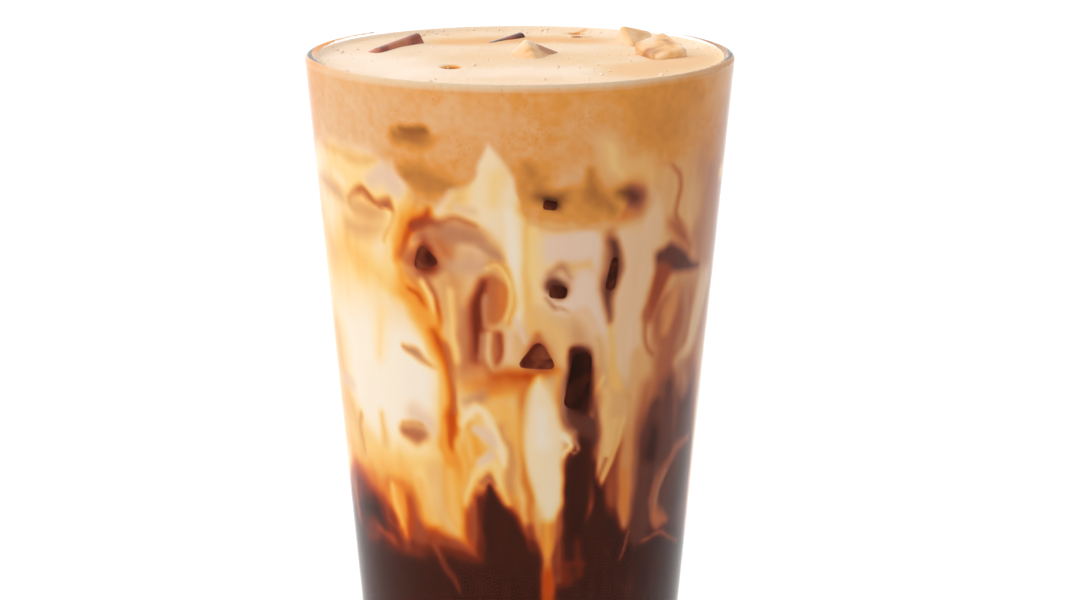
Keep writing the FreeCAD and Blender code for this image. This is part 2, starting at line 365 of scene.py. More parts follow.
# Each stroke is (ink, softness in mm, places), and lies over those before it.
FRONT_STROKES = (
    # The broad areas: pale milk on the left, creamy streams on the right, dark coffee below.
    ("milk", 9, (-82, 88, 15), (-40, 87, 14)),
    ("cream", 8, (-80, 108, 10), (-45, 111, 8)),
    ("butter", 9, (-80, 111, 8), (-58, 112, 6)),
    ("gold", 8, (-82, 92, 6), (-80, 78, 6)),
    ("honey", 6, (-80, 70, 3), (-62, 69, 3.4)),
    ("butter", 7, (-66, 127, 5), (-45, 126, 6)),
    ("gold", 9, (-82, 120, 7), (-74, 112, 4)),
    ("honey", 9, (-72, 120, 1.6), (-60, 113, 2.2), (-46, 108, 2)),
    ("gold", 6, (-72, 78, 3), (-64, 71, 3)),
    ("cream", 6, (-80, 130, 4), (-72, 120, 5)),
    ("tan", 7, (40, 118, 9), (48, 130, 8)),
    ("blush", 6, (36, 113, 7), (34, 96, 7)),
    # The two rose strokes down the right edge are painted shade, where the light falls off to the right.
    ("rose", 9, (72, 134, 7), (76, 112, 6)),
    ("rose", 8, (80, 140, 4), (82, 112, 5), (80, 96, 4)),
    ("brown", 8, (60, 96, 9), (66, 76, 10)),
    ("mauve", 8, (70, 80, 5), (74, 64, 8), (78, 50, 6)),
    ("coffee", 5, (-82, 50, 4), (-40, 46, 6), (0, 46, 6), (30, 48, 6), (80, 47, 6)),
    ("coffee", 6, (24, 66, 9), (25, 54, 10)),
    ("coffee", 4, (22, 49, 3), (40, 49, 4)),
    # Left: flames where the milk meets the coffee.
    ("butter", 7, (-62, 70, 1.2), (-46, 70, 3), (-32, 71, 3)),
    ("honey", 6, (-62, 69, 1.6), (-46, 68, 3.4), (-38, 67, 3.4), (-30, 66, 4)),
    ("amber", 6, (-74, 64, 2), (-52, 63, 2.6), (-40, 62, 2.6), (-30, 60, 3)),
    ("amber", 4, (-74, 64, 2), (-64, 63.6, 3), (-56, 62, 2)),
    ("orange", 4.5, (-60, 62, 1.6), (-47, 60, 3), (-40, 59, 2.6), (-31, 57, 2.6)),
    ("rust", 4, (-54, 56, 1.6), (-44, 54.4, 1.2), (-34, 55, 1.6), (-27, 55, 1.4)),
    ("mahogany", 5, (-52, 51.5, 3), (-36, 52.4, 3.2), (-22, 51.6, 2.6)),
    ("coffee", 5, (-50, 46.5, 3), (-34, 47.6, 3.4), (-20, 47, 2.6)),
    ("mahogany", 5, (-82, 57, 5.5), (-70, 59, 5.4), (-58, 58, 4)),
    ("coffee", 3.4, (-82, 53, 3), (-71, 57, 2.2), (-62, 57.5, 2.2), (-57, 54, 1.4)),
    ("orange", 3, (-47.5, 63, 1.8), (-46, 58, 1.6), (-45, 54, 0.6)),
    ("butter", 2.6, (-35, 68, 1.6), (-33, 63, 1.6), (-31, 58.6, 0.6)),
    ("honey", 1.6, (-49.5, 64, 0.8), (-48, 59.5, 0.7), (-46.6, 56, 0.3)),
    ("red brown", 3, (-41, 61.6, 0.8), (-40, 58, 1.8), (-38, 54.6, 2.2)),
    ("rust", 1.8, (-42.4, 62.6, 0.7), (-41.6, 58.4, 0.8), (-42.4, 54.6, 0.6)),
    ("honey", 2.4, (-36, 66, 1), (-34.6, 62, 1.2), (-32, 59, 1)),
    ("gold", 3.5, (-29, 68, 3), (-27.5, 62, 3), (-25.5, 58, 1.8)),
    ("brown", 3, (-80, 62, 1.4), (-77, 54, 1.2)),
    ("red brown", 4, (-70, 51, 0.5), (-62, 52, 0.5)),
    ("rust", 3, (-60, 53.5, 0.4), (-52, 52, 0.6)),
    ("red brown", 3.5, (-46, 51.4, 0.4), (-38, 50.4, 0.4)),
    ("red brown", 3, (-29, 54, 0.6), (-22, 54, 1), (-16, 54.5, 1.4)),
    ("red brown", 1.8, (-32, 53, 0.5), (-28, 48.5, 0.5), (-23, 44, 0.3)),
    # Left: faint marks in the milk.
    ("gold", 2.6, (-52, 79, 0.9), (-51, 73, 1.2)),
    ("olive", 2.2, (-65, 77, 0.7), (-66.5, 74.5, 0.5), (-65.5, 70, 0.5)),
    ("grey cream", 3, (-37, 80.5, 2), (-31, 79, 1.8), (-29, 76, 1)),
    ("rose", 2.4, (-41.2, 76.6, 1.5), (-37.5, 76.2, 2), (-34.3, 76.4, 1.6)),
    ("brown", 2.6, (-40.4, 76.2, 0.7), (-36.4, 75.8, 1.1)),
    ("olive", 1.4, (-41, 78.2, 0.5), (-35, 78.4, 0.5)),
    ("rose", 1.5, (-38.8, 95, 0.5), (-35.5, 94, 1), (-32, 92.8, 0.7), (-28, 91.6, 0.3)),
    ("grey cream", 3, (-78, 83, 1.2), (-68, 83.5, 0.8)),
    ("butter", 5, (-47, 101, 1.6), (-50, 92, 1.2)),
    ("pink", 4, (-80, 125, 0.8), (-68, 125, 1.5), (-62, 123, 1)),
    ("tan", 4, (-60, 118, 1.6), (-52, 118, 2), (-44, 119, 1)),
    ("grey cream", 2.6, (-46, 128.6, 1.4), (-41.5, 130, 2.6), (-38, 128, 2.2)),
    ("cream", 2, (-66, 128, 1), (-61, 127, 1)),
    ("gold", 2, (-72, 133, 0.7), (-62, 132.5, 1), (-54, 132, 1.2), (-46, 132.6, 1.2)),
    # Left: the brown curl and its thin tail.
    ("tan", 2.2, (-58, 123, 1), (-52, 122, 1.8), (-44, 121.6, 1.2)),
    ("olive", 1.2, (-58, 123.8, 0.4), (-54.5, 125.2, 0.9), (-51, 126.2, 1.3), (-47.5, 124.6, 0.9),
     (-43.5, 124, 0.9), (-40, 124.6, 0.7)),
    ("brick", 0.9, (-53, 126, 0.4), (-50, 126.4, 0.5), (-46, 124, 0.4), (-42, 123.6, 0.6),
     (-39.5, 123.6, 0.6), (-38, 121.8, 0.2)),
    ("brown", 0.9, (-44, 122.8, 0.2), (-41, 123.2, 0.5), (-38.6, 122.3, 0.45), (-40.5, 119.5, 0.3),
     (-44, 116.5, 0.1)),
    # The orange plume and the red edge beside the first window.
    ("butter", 3, (-36, 124, 0.9), (-40, 119, 1), (-43.5, 113, 1), (-43, 107, 0.8)),
    ("honey", 2, (-33.5, 126.5, 0.7), (-36, 121.5, 1.2), (-39, 117.5, 1)),
    ("orange", 1.6, (-31, 125, 0.9), (-34, 120.5, 1.6), (-37.5, 116, 1.8), (-39.3, 113, 1.2)),
    ("rust", 1.6, (-28, 123.5, 1), (-31, 120.5, 1.3), (-35, 116.8, 1.1), (-37.5, 113.6, 0.8)),
    ("brick", 3.6, (-34, 113, 2.6), (-27, 113, 3.2), (-25, 118, 2.4)),
    ("rose", 2, (-36, 109.8, 0.9), (-29, 109.9, 0.9), (-24, 112, 1.2)),
    ("mahogany", 1.8, (-32, 119.6, 0.9), (-28, 121.4, 1.2), (-24.5, 121, 1), (-22.5, 120.5, 0.5)),
    ("rose", 1, (-32, 116.6, 0.35), (-30, 118.6, 0.5), (-27, 119.2, 0.5), (-25.3, 116.8, 0.5),
     (-24.6, 113, 0.45)),
    # The rose arc and the pale hollow under it.
    ("brick", 4, (-28, 119, 1.6), (-23, 117, 2.2)),
    ("tan", 4, (-22, 116, 2.4), (-16, 118, 3.6), (-9, 116, 2.2)),
    ("rose", 4, (-25, 118.4, 2.4), (-20, 119.6, 2.8), (-14.6, 118.6, 2), (-10, 117, 1.2), (-6, 114.6, 0.7)),
    ("blush", 2.4, (-17, 116.4, 0.8), (-11, 115.6, 0.9)),
    ("brown", 1.6, (-24, 121.6, 0.4), (-19, 122.6, 0.35), (-13, 121.2, 0.3)),
    ("brick", 2.6, (-24, 118, 1.1), (-22, 114.4, 1.1), (-20.4, 109, 0.8)),
    ("pink", 3.4, (-20, 112, 1.6), (-15, 112.6, 2.4), (-9, 113, 1.4)),
    ("rose", 1.8, (-12.6, 117, 0.6), (-8, 115.2, 0.8), (-4.2, 114, 0.4)),
    # Orange hooks under the first window.
    ("honey", 4, (-38, 107, 3), (-30, 104, 3.5)),
    ("amber", 3, (-34, 109, 0.8), (-29, 106, 1.2)),
    ("orange", 3, (-39, 112.4, 0.8), (-37, 108.4, 1.2), (-33, 102, 1.2)),
    ("orange", 2.6, (-38.5, 106, 1.1), (-34, 105.4, 2), (-30.5, 102.5, 1.6)),
    ("rust", 1.4, (-35.5, 107.2, 0.5), (-32.5, 106.2, 0.6), (-30.5, 103.6, 0.6)),
    ("butter", 1.2, (-30, 108.6, 0.6), (-28, 105.8, 0.9), (-27.6, 103, 0.5)),
    ("brown", 1.4, (-31, 110, 0.4), (-29, 109.4, 0.5), (-26.5, 106.5, 0.7), (-25.8, 103, 0.4)),
    ("rust", 1.2, (-26, 105, 0.5), (-25.6, 101.5, 0.8), (-26, 98.5, 0.6)),
    ("tan", 2, (-23.5, 108.5, 1.4), (-22.5, 102, 1)),
    # The red stream that runs down and turns orange.
    ("honey", 4, (-33, 101, 1.2), (-28.5, 96, 1.6), (-26.5, 90, 1.2), (-26.8, 82, 1.4), (-27.5, 75, 2)),
    ("orange", 2.8, (-31, 102, 1.6), (-27, 98, 2.2), (-24.5, 91, 1.1), (-24, 84, 1.1), (-24.6, 77, 2),
     (-22, 69, 3), (-20.5, 61, 3), (-19, 56, 2)),
    ("rust", 2, (-27.5, 98.6, 0.9), (-24, 94.5, 1.5), (-22.3, 89, 1.1), (-22, 84, 1.1), (-23.4, 79, 1.8),
     (-25, 75, 1.2)),
    ("brick", 1.2, (-24.2, 96.5, 0.4), (-21.8, 91, 0.5), (-21, 86.5, 0.5), (-21.6, 82, 0.5)),
    ("orange", 1.5, (-26.5, 79.5, 0.6), (-27, 75.6, 0.9), (-24.5, 72, 0.9)),
    ("honey", 2.4, (-24.5, 69, 1.2), (-23.5, 64, 1.6), (-22, 59, 1.2)),
    ("honey", 2, (-21, 76, 0.6), (-19, 72, 1), (-19.5, 65, 0.8)),
    # The tan column left of the amber oval.
    ("olive", 4.5, (-20, 108, 2), (-19, 102, 2.4), (-18, 94, 2), (-17, 88, 1.4)),
    ("butter", 1.8, (-21.5, 107, 0.5), (-21.5, 100, 0.7), (-20, 93.5, 0.5)),
    ("rose", 2, (-17, 103, 0.8), (-17, 94, 1.2), (-15, 88.5, 1.4)),
    # The stream of milk from the foam down past the oval.
    ("butter", 3.6, (-13, 131, 1.2), (-15, 127, 2.2)),
    ("cream", 2.6, (-8.6, 137, 0.3), (-9.3, 133, 1.4), (-10, 129, 2.4), (-9.5, 125, 3.2)),
    ("gold", 2.6, (-18, 126.5, 0.8), (-21, 124.4, 0.7)),
    ("blush", 2, (-19, 124.6, 0.5), (-13, 124, 0.7)),
    ("cream", 2.4, (-4, 127, 1.2), (-2.6, 121, 1.8), (-1.6, 115, 1.8), (-1.4, 107, 1.5), (-0.8, 101, 1)),
    ("milk", 1.8, (-3.2, 124, 0.6), (-2, 117, 0.9), (-1, 108, 0.7), (-0.6, 102, 0.4)),
    ("honey", 2, (2, 131, 0.4), (2.2, 121, 0.8), (2.4, 112, 0.8), (2.8, 104, 1), (5, 99, 0.8)),
    ("butter", 2.5, (-7, 131, 1.2), (-7.2, 126, 1)),
    # The amber oval, the dark crescent on its left and the small window below.
    ("tan", 2.6, (-9, 109.6, 2.4), (-7.5, 106, 3), (-8, 102, 2.4)),
    ("brick", 1.6, (-9, 109.6, 1.6), (-7.6, 107, 2.8), (-7.8, 103.4, 2.2)),
    ("amber", 1.8, (-5.8, 108.2, 0.5), (-5.2, 105.5, 0.8), (-6.2, 102.8, 0.5)),
    ("amber", 2.6, (-9, 113, 0.5), (-4.4, 111.6, 0.9), (-2.2, 106, 0.7), (-3, 101, 0.5)),
    ("butter", 1, (-10.5, 112.4, 0.25), (-6.6, 112.6, 0.3), (-3.4, 109.6, 0.4), (-2.8, 105.4, 0.35),
     (-4, 101.5, 0.3)),
    ("brick", 2.6, (-12.4, 108, 1.6), (-13.4, 100, 2.8), (-13.4, 93.4, 2.8)),
    ("red brown", 2, (-11.6, 109.6, 1), (-13, 106, 1.3), (-13.3, 100, 1.7), (-13.4, 94, 1.5)),
    ("mahogany", 1.4, (-11.4, 109.2, 0.5), (-13, 105, 0.8), (-13.2, 100, 0.9), (-12.8, 95.6, 0.6)),
    # These two rose lines are painted highlights: one between the crescent and the oval, one beside the small
    # window.
    ("rose", 0.9, (-10.6, 106.4, 0.6), (-10.9, 103.4, 0.4), (-10.6, 100.6, 0.3)),
    ("rose", 1.2, (-11.2, 98.6, 0.5), (-11.6, 94, 0.5)),
    ("brick", 2, (-7, 98.4, 1.4), (-7.6, 94.6, 2), (-9, 92, 1.6)),
    ("red brown", 1.4, (-6.2, 98.4, 0.7), (-5.6, 95.2, 0.6), (-6.6, 93.4, 0.4)),
    ("blush", 1.2, (-9.6, 98.6, 0.3), (-9.6, 94, 0.4), (-6.8, 91.4, 0.5), (-4, 94, 0.5), (-2.6, 98.6, 0.6)),
    # The orange band under the windows.
    ("brick", 4, (-18, 91, 1.2), (-10, 90, 1.6), (2, 90, 1)),
    ("olive", 4, (-19, 90, 1), (-14, 89.4, 1.8), (-7, 90, 1.6)),
    ("orange", 4, (-16, 87, 1.4), (-9, 87, 2), (0, 87.4, 1.8)),
    ("amber", 3, (-13, 88.4, 1), (-4, 88.6, 1.6), (5, 89, 1.2)),
    ("rust", 2.8, (-8, 90.2, 0.7), (-3, 90.2, 1.3), (3, 90.2, 1.6), (9, 90.8, 1.2), (11.5, 90.6, 0.6)),
    ("orange", 2, (11.5, 90, 0.4), (12.5, 86, 0.8), (13.5, 83.5, 0.4)),
    ("gold", 3, (5, 103, 1), (9, 100, 1.8), (12.5, 96.6, 1.8), (13, 93, 1.2)),
    ("grey cream", 1.2, (-1, 101.5, 0.4), (1, 99.2, 0.5), (2.4, 96.8, 0.2)),
    # The pale lobe on the right with its two windows' halos.
    ("cloudy milk", 2.2, (9, 116, 2.2), (15, 116, 2.6), (22, 116, 2), (25, 112, 1.6)),
    ("cloudy milk", 2.2, (8, 109, 2.2), (15, 107, 4), (22, 107, 3.2), (26, 99, 1.4)),
    ("butter", 2.5, (4.4, 120, 1.2), (4.8, 112, 1.2), (6, 106, 0.8)),
    ("cloudy milk", 2, (10, 118.6, 1.2), (21, 118.8, 1.3), (25, 116, 0.8)),
    ("blush", 2, (19, 102, 1.4), (24, 98.5, 1.4), (29, 93, 1.2)),
    ("rose", 2, (9.6, 111.2, 0.6), (13, 112.2, 0.9), (15.6, 110.4, 0.5)),
    ("rose", 1, (8.2, 106.2, 0.4), (10.6, 104.6, 0.6), (12.6, 104.4, 0.35), (15.4, 103.4, 0.15)),
    # Olive-tan foam low on the right, and the streams under it.
    ("amber", 3, (2, 125, 1.4), (12, 124.4, 1.8), (24, 124.2, 2), (33, 122, 1.6)),
    ("tan", 1.8, (3.5, 122, 0.5), (10, 121.2, 0.4), (19, 120.8, 0.4), (30, 120.2, 0.4)),
    ("gold", 4, (24, 138, 1.6), (28, 133.6, 3.2), (38, 131, 3.4)),
    ("butter", 2.6, (25.6, 137, 0.5), (26.6, 132.4, 0.8), (31, 130, 0.6)),
    ("blush", 2.6, (33, 117, 1.8), (36, 108, 3), (34, 98, 2.6), (36, 90, 2)),
    ("blush", 2.6, (40, 126, 1.2), (43, 120, 2.2), (40, 112, 2.2)),
    ("honey", 2.2, (29.5, 100, 0.4), (30.8, 93, 0.8), (33, 84, 1.8), (31, 76, 2)),
    ("tan", 2.4, (41, 92, 1.8), (42, 87.5, 2.2), (38, 83, 2)),
    ("olive", 2.4, (36, 84, 1.2), (34, 77, 1.4)),
    ("tan", 2, (25, 97, 0.7), (27, 90, 1.2), (28, 84, 1.4)),
    ("brown", 4, (30.6, 126, 1.6), (34, 126, 3), (36.6, 123.6, 2)),
    ("mauve", 3, (33, 127, 1), (35.6, 125.6, 1.3)),
    # The dark ice on the right, its tail and the brown oval.
    ("brown", 2.8, (28, 119, 0.9), (28.2, 112, 2.1), (27.4, 106, 1.6), (28.4, 101, 0.4)),
    ("mauve", 2.2, (29, 117, 1.1), (29, 111, 1.7), (27.6, 106, 1.2), (29, 101, 0.2)),
    ("brown", 3, (50, 119, 1), (55, 116.6, 1.8), (60, 113.4, 1.2)),
    ("rose", 5, (66, 116, 2), (70, 110, 2)),
    ("mauve", 2.2, (47.8, 112, 2.4), (51, 111.6, 3), (56, 110.6, 2.2), (62, 109.2, 1.2), (69, 108, 0.4)),
    ("red brown", 2.4, (48.4, 108.6, 2.6), (46.4, 105, 2.2), (44, 100.5, 1.5)),
    ("brown", 1.4, (43.4, 101.5, 0.8), (42.6, 97, 0.5), (43.6, 94, 0.5), (46.5, 92, 0.4)),
    ("brown", 2, (52, 103, 1.8), (50, 99, 3), (53, 96, 2.8)),
    ("olive", 2.4, (55, 104, 1.4), (53, 100, 1.8), (51, 97, 1.2)),
    ("blush", 3, (76, 104, 3), (72, 98, 3), (68, 91.6, 2.2), (60, 89, 1.2)),
    ("rose", 3, (62, 104, 0.8), (64, 98, 1.2), (60, 93, 1)),
    ("brown", 1.6, (47, 132, 0.2), (51.5, 129.4, 0.5), (53.6, 126, 0.7), (51.4, 121.5, 0.5), (54, 118, 0.9)),
    # The mauve column and the streaks beside it.
    ("rose", 5, (62, 88, 2), (68, 84, 2)),
    ("brown", 4, (53, 90, 2.4), (52, 84, 3.4), (50, 77, 4)),
    ("brown", 4, (45, 85, 1.4), (43.4, 77, 2.6), (43, 68, 2.4)),
    ("red brown", 3, (35.8, 79, 1), (34.4, 71, 2.6), (33, 62, 2.6)),
    ("mauve", 5, (56, 84, 2), (58, 74, 3), (58, 66, 3)),
    ("mauve", 3, (50, 80, 2.4), (50, 73, 4.2), (49, 66, 3.4), (48, 60, 3), (47, 54, 3)),
    ("coffee", 3, (51, 76, 1.4), (50, 71, 2.2)),
    ("mauve", 6, (62, 62, 6), (72, 62, 8)),
    ("murky", 6, (70, 58, 3), (76, 66, 3)),
    ("brown", 2.6, (76, 71, 0.6), (66, 70, 1), (59, 67, 0.9), (54.5, 63.4, 0.9), (52.5, 60, 0.7)),
    ("brick", 2.6, (55, 57.6, 1.6), (59, 55.6, 1.5), (64, 54.6, 0.8)),
    ("rose", 1.8, (60, 66, 0.3), (57, 63, 0.5), (55.5, 60, 0.4)),
    ("brown", 1.6, (50, 51.8, 0.4), (58, 52.6, 0.5), (68, 50.6, 0.4), (76, 49, 0.3)),
    # The tan finger and the fin of cream beside it.
    ("olive", 2.6, (37.4, 80, 1), (38.8, 72, 1.4), (39.4, 65, 1.8), (39.8, 60, 1.9), (40, 57, 1.1)),
    ("amber", 2, (39, 68, 0.6), (39.3, 62, 1.1), (39.8, 58.4, 0.7)),
    ("brown", 1, (42.4, 55, 0.3), (40.5, 52, 0.35), (38.5, 49, 0.15)),
    ("tan", 1.8, (29, 85, 1.6), (34, 81, 3), (30.4, 74, 2.1), (27.6, 67.5, 1.3), (25, 62, 0.6),
     (22.4, 57, 0.2)),
    ("gold", 1.6, (33, 79, 1.4), (31, 72, 0.9), (28.4, 67, 0.5)),
    ("gold", 1.4, (29, 86, 1.2), (30, 79, 0.9), (32, 74, 0.7)),
    ("red brown", 1.4, (24.2, 86, 0.5), (26, 81.5, 0.5), (26.8, 76, 0.5), (25.8, 70, 0.5), (24, 65, 0.4)),
    ("brown", 1, (30.5, 71, 0.4), (28.4, 67, 0.4), (25.6, 62.4, 0.25)),
    ("gold", 0.8, (36.8, 79.4, 0.35), (34.8, 75, 0.45), (32, 70, 0.45), (28.6, 65.6, 0.35), (25, 61, 0.2)),
    ("butter", 0.9, (23.6, 84, 0.3), (26, 86.5, 0.5), (28.5, 89, 0.3)),
    # The dark ice beside the white finger and the coffee under it.
    ("brown", 2.4, (14.5, 89, 0.7), (14.6, 84, 1), (16, 79.6, 1), (22.5, 79, 1.6), (25, 74, 0.8)),
    ("rose", 1, (13.5, 88.5, 0.3), (14.2, 84.5, 0.4), (15.4, 81.5, 0.3)),
    ("brown", 3, (20, 93, 1), (23.5, 88, 1.6), (25, 80, 1.4), (25.4, 72, 1.2)),
    ("murky", 2, (17.4, 94.6, 0.7), (20.4, 94.2, 1.1), (22.6, 90.5, 0.8)),
    ("mauve", 2.2, (16.6, 92.6, 1), (18.8, 88, 2.8), (20.4, 82, 3.2), (22.6, 76.5, 2.8)),
    ("coffee", 2, (17.4, 94.4, 1.2), (19, 90, 2.4), (19.8, 85, 2.3)),
    ("brick", 1.4, (21.6, 87, 0.3), (23, 84.4, 0.5), (24.4, 81, 0.3)),
    ("coffee", 2.4, (21, 74, 2.8), (20.5, 66, 2.8), (20, 58, 2.8), (19, 52, 3)),
    ("coffee", 2, (25.6, 70, 0.6), (28, 62, 1.6), (30, 56, 2)),
    # The white finger.
    ("amber", 1.8, (1.6, 88, 0.8), (0.2, 84, 0.9), (-0.2, 78, 1), (1.4, 70, 1.2), (4, 62, 1.6),
     (5.4, 57, 0.9)),
    ("gold", 2.4, (10, 62, 3.2), (10, 57, 2.4)),
    ("amber", 2.2, (9.8, 58, 1.8), (9.9, 52, 1.9), (10.5, 46, 1.6)),
    ("orange", 1.6, (9.6, 59, 0.8), (9.9, 52, 0.7)),
    ("rust", 2, (10.5, 47.5, 1.8), (11, 42, 1.8)),
    ("coffee", 2.6, (3, 58, 0.6), (4.2, 53, 1.4), (4.4, 46, 2)),
    ("mahogany", 2.4, (14.4, 52, 0.8), (17, 46, 1.6)),
    ("red brown", 2, (13.6, 60, 0.4), (14, 52, 0.5), (14.6, 46, 0.6)),
    ("cream", 2, (6, 89, 0.6), (7, 85.4, 2.2), (7.8, 81, 3.5), (8.2, 76, 3.9), (9, 70, 3.6), (9.8, 65, 2.8),
     (10.2, 61, 1.7)),
    ("milk", 2.6, (7.4, 82, 0.9), (8.2, 76, 1.4)),
    ("cream", 0.9, (13, 77.4, 0.8), (15.4, 76.6, 0.8), (16.8, 74.6, 0.5), (14.6, 73.2, 0.4)),
    ("rose", 0.9, (17.8, 75.8, 0.4), (19.4, 74.4, 0.4), (18, 73.2, 0.3)),
    # Yellow and orange between the red stream and the white finger.
    ("honey", 3, (-12, 82, 2), (-5, 82.5, 2.6), (-3.5, 76, 2.8), (-3.8, 69, 2.4), (-1.4, 64, 1.4)),
    ("olive", 2.4, (-6, 79, 1), (-3, 73, 1.4), (-3, 67, 1.4)),
    ("amber", 3.4, (-15.6, 75, 1.2), (-14.4, 70, 1.8), (-16, 65, 1.2)),
    ("amber", 2.4, (-4.5, 65.4, 1), (-1.6, 61.4, 1.6), (1, 58, 1.1), (2.6, 55.6, 0.6)),
    ("rust", 2.2, (-3.6, 62, 0.5), (-1.4, 58.6, 0.8), (1.4, 55.4, 0.8), (3.4, 53.4, 0.5)),
    ("rose", 3, (-17, 84, 0.8), (-12, 86, 0.8)),
    ("honey", 3, (-17, 80, 1.6), (-13, 76, 3), (-10, 70, 2)),
    ("orange", 2.4, (-16.4, 78.6, 1.3), (-15.6, 74, 2.2), (-13.4, 72, 1.6)),
    ("honey", 1.8, (-18, 77, 0.8), (-16, 72.5, 0.8)),
    ("cream", 1.6, (-19.6, 79.8, 0.4), (-16.6, 81.8, 0.7), (-13.4, 83, 1), (-10.6, 81.6, 1), (-8, 77.8, 0.8),
     (-6, 74.5, 1), (-5.4, 71, 0.7)),
    ("grey cream", 1.8, (-15, 78.4, 0.7), (-11, 77.4, 1.1), (-8.6, 75.6, 0.8)),
    # The pale arch over the dark wedge.
    ("mahogany", 3, (-13, 64, 1.6), (-15, 58, 1.6), (-14, 52, 2)),
    ("rust", 2.4, (-18, 60, 0.8), (-18, 55, 1.4)),
    ("red brown", 2.4, (-16.6, 62, 0.8), (-16.6, 56, 1.2)),
    ("coffee", 2.2, (-10, 66.4, 1.2), (-8.8, 61, 3.3), (-6, 56, 5), (-4.5, 50, 6), (-3, 44, 6.4)),
    ("butter", 1.8, (-18.4, 62.5, 0.3), (-17, 66, 0.8), (-14, 69.8, 1.3), (-10.4, 71.4, 1.4), (-7.6, 70.2, 1),
     (-6, 67.4, 0.5), (-4, 63.6, 0.2)),
    ("grey cream", 1.6, (-13, 71.4, 0.8), (-9.6, 73.4, 0.9)),
    ("brown", 1.2, (-13, 67.4, 0.5), (-10.4, 68.6, 0.6), (-8, 67.2, 0.4)),
    ("mahogany", 2, (14, 48, 0.6), (19, 49.5, 0.5), (23.5, 49.3, 0.4)),
    ("mahogany", 2.4, (21, 54, 0.5), (22, 47, 0.8)),
)

# Shades round the sunk ice, which do not drift off it.
ICE_SHADES = (
    ("red brown", 3.4, (-28.8, 117.4, 0.8), (-31, 112.6, 1.4), (-26.4, 112.4, 1.4), (-28.8, 117.4, 0.8)),
    ("mahogany", 2, (-28.8, 115, 1.6), (-28.8, 113, 2.4)),
    ("brick", 2.4, (5.6, 98.4, 0.8), (3, 93.2, 1.4), (8.6, 93, 1.4), (5.6, 98.4, 0.8)),
    ("mahogany", 1.8, (5.6, 95, 1.8), (5.6, 94, 2.2)),
    ("coffee", 2.4, (20.4, 93, 1.8), (20.2, 88, 2.4), (20.6, 83, 1.8)),
    ("mauve", 3.6, (9.8, 109.2, 1.4), (12.6, 108.2, 1.6)),
    ("mauve", 1.8, (10.2, 108.6, 1.7), (12, 107.6, 1.7)),
)

# The foam's lower edge: (angle, height).
FOAM_EDGE = (
    (-180, 127), (-165, 123), (-150, 129), (-132, 121), (-115, 127), (-98, 124), (-80, 134), (-62, 134.5),
    (-46, 134), (-38, 132), (-34, 128), (-31, 125.5), (-24, 125), (-18, 127.6), (-13, 131.4), (-8.6, 138),
    (-5, 135), (-1, 130), (2, 123), (6, 121), (20, 120.8), (30, 121), (33, 128), (44, 131), (60, 133),
    (78, 129), (95, 122), (112, 128), (128, 120), (146, 127), (163, 124), (180, 127),
)
# Where the foam gives way to the clouded milk's colours, as thin foam, and on the right as painted shade:
# (amount, softness in mm, places).
FOAM_VEILS = (
    # The first two, on the right, are painted shade where the foam lies away from the light.
    (0.55, 16, (84, 148, 6), (82, 125, 8)),
    (0.35, 10, (58, 138, 4), (62, 128, 5)),
    (0.3, 14, (-88, 145, 5), (-84, 130, 5)),
    (0.75, 5, (25, 137.6, 1.6), (28, 133, 2.6), (38, 131, 3.4)),
)
# Patches in the foam: (shade, softness in mm, places). Shade 0 is pale froth, 1 is dark brown.
FOAM_PATCHES = (
    # The two pale patches on the left are painted light, where the light falls from the left.
    (0.36, 14, (-70, 144, 7), (-42, 145, 6)),
    (0.34, 10, (-70, 138, 4), (-46, 139, 5)),
    (0.4, 9, (-38, 142, 4), (-16, 142, 4)),
    (0.44, 9, (6, 141, 4), (20, 137, 3)),
    (0.4, 9, (-26, 141, 3), (-8, 140, 3)),
    (0.56, 10, (-82, 136, 3), (-80, 146, 3)),
    # This darker patch on the right is painted shade.
    (0.56, 10, (46, 142, 9), (30, 147, 1.6)),
    (0.55, 5, (4, 130, 4), (20, 125, 4)),
    (0.46, 6, (0, 145, 2), (8, 145, 1.6)),
    (0.9, 2.2, (-34, 139.6, 0.5), (-31, 138.8, 1.3), (-27.5, 140, 0.9)),
    (0.75, 4, (-36, 138, 1.2), (-28, 138, 1.8)),
    (0.66, 4, (-34, 131, 1.6), (-28, 130, 2.6), (-20, 129, 1)),
    (0.36, 4, (12, 130, 1.6), (17, 131.5, 2.4)),
    (0.36, 4, (25, 138, 1.4), (27, 133, 2.2)),
    (0.66, 3, (2, 133, 1.2), (4, 130, 1.2)),
    (0.85, 3.4, (5.6, 127.4, 1.2), (9, 126.2, 1.6), (12, 126.8, 1)),
    (1, 1.6, (7.6, 126.2, 0.8), (9.4, 125.8, 1.2)),
    (0.7, 3, (21, 131.5, 0.6), (22, 127, 1.6), (28, 124, 1.2)),
    (0.9, 3, (30, 127, 0.8), (34, 126.6, 1.8), (36.6, 126, 1.2)),
)


# ---- The marbling's code -----------------------------------------------------------------------


def smooth(t):
    t = np.clip(t, 0.0, 1.0)
    return t * t * (3.0 - 2.0 * t)


def blend(base, ink, amount):
    return base + (ink - base) * amount


def lattice(i, j, k, seed):
    """A repeatable random number from 0 to 1 at each whole point, by integer hashing."""
    n = i.astype(np.int64) * 73856093 ^ j.astype(np.int64) * 19349663 ^ k.astype(np.int64) * 83492791
    n = n ^ seed * 2654435761
    n = (n ^ (n >> 13)) * 1274126177 & 0xFFFFFFFF
    n = (n ^ (n >> 16)) * 2246822519 & 0xFFFFFFFF
    return ((n ^ (n >> 15)) & 0xFFFFFF) / float(0xFFFFFF)


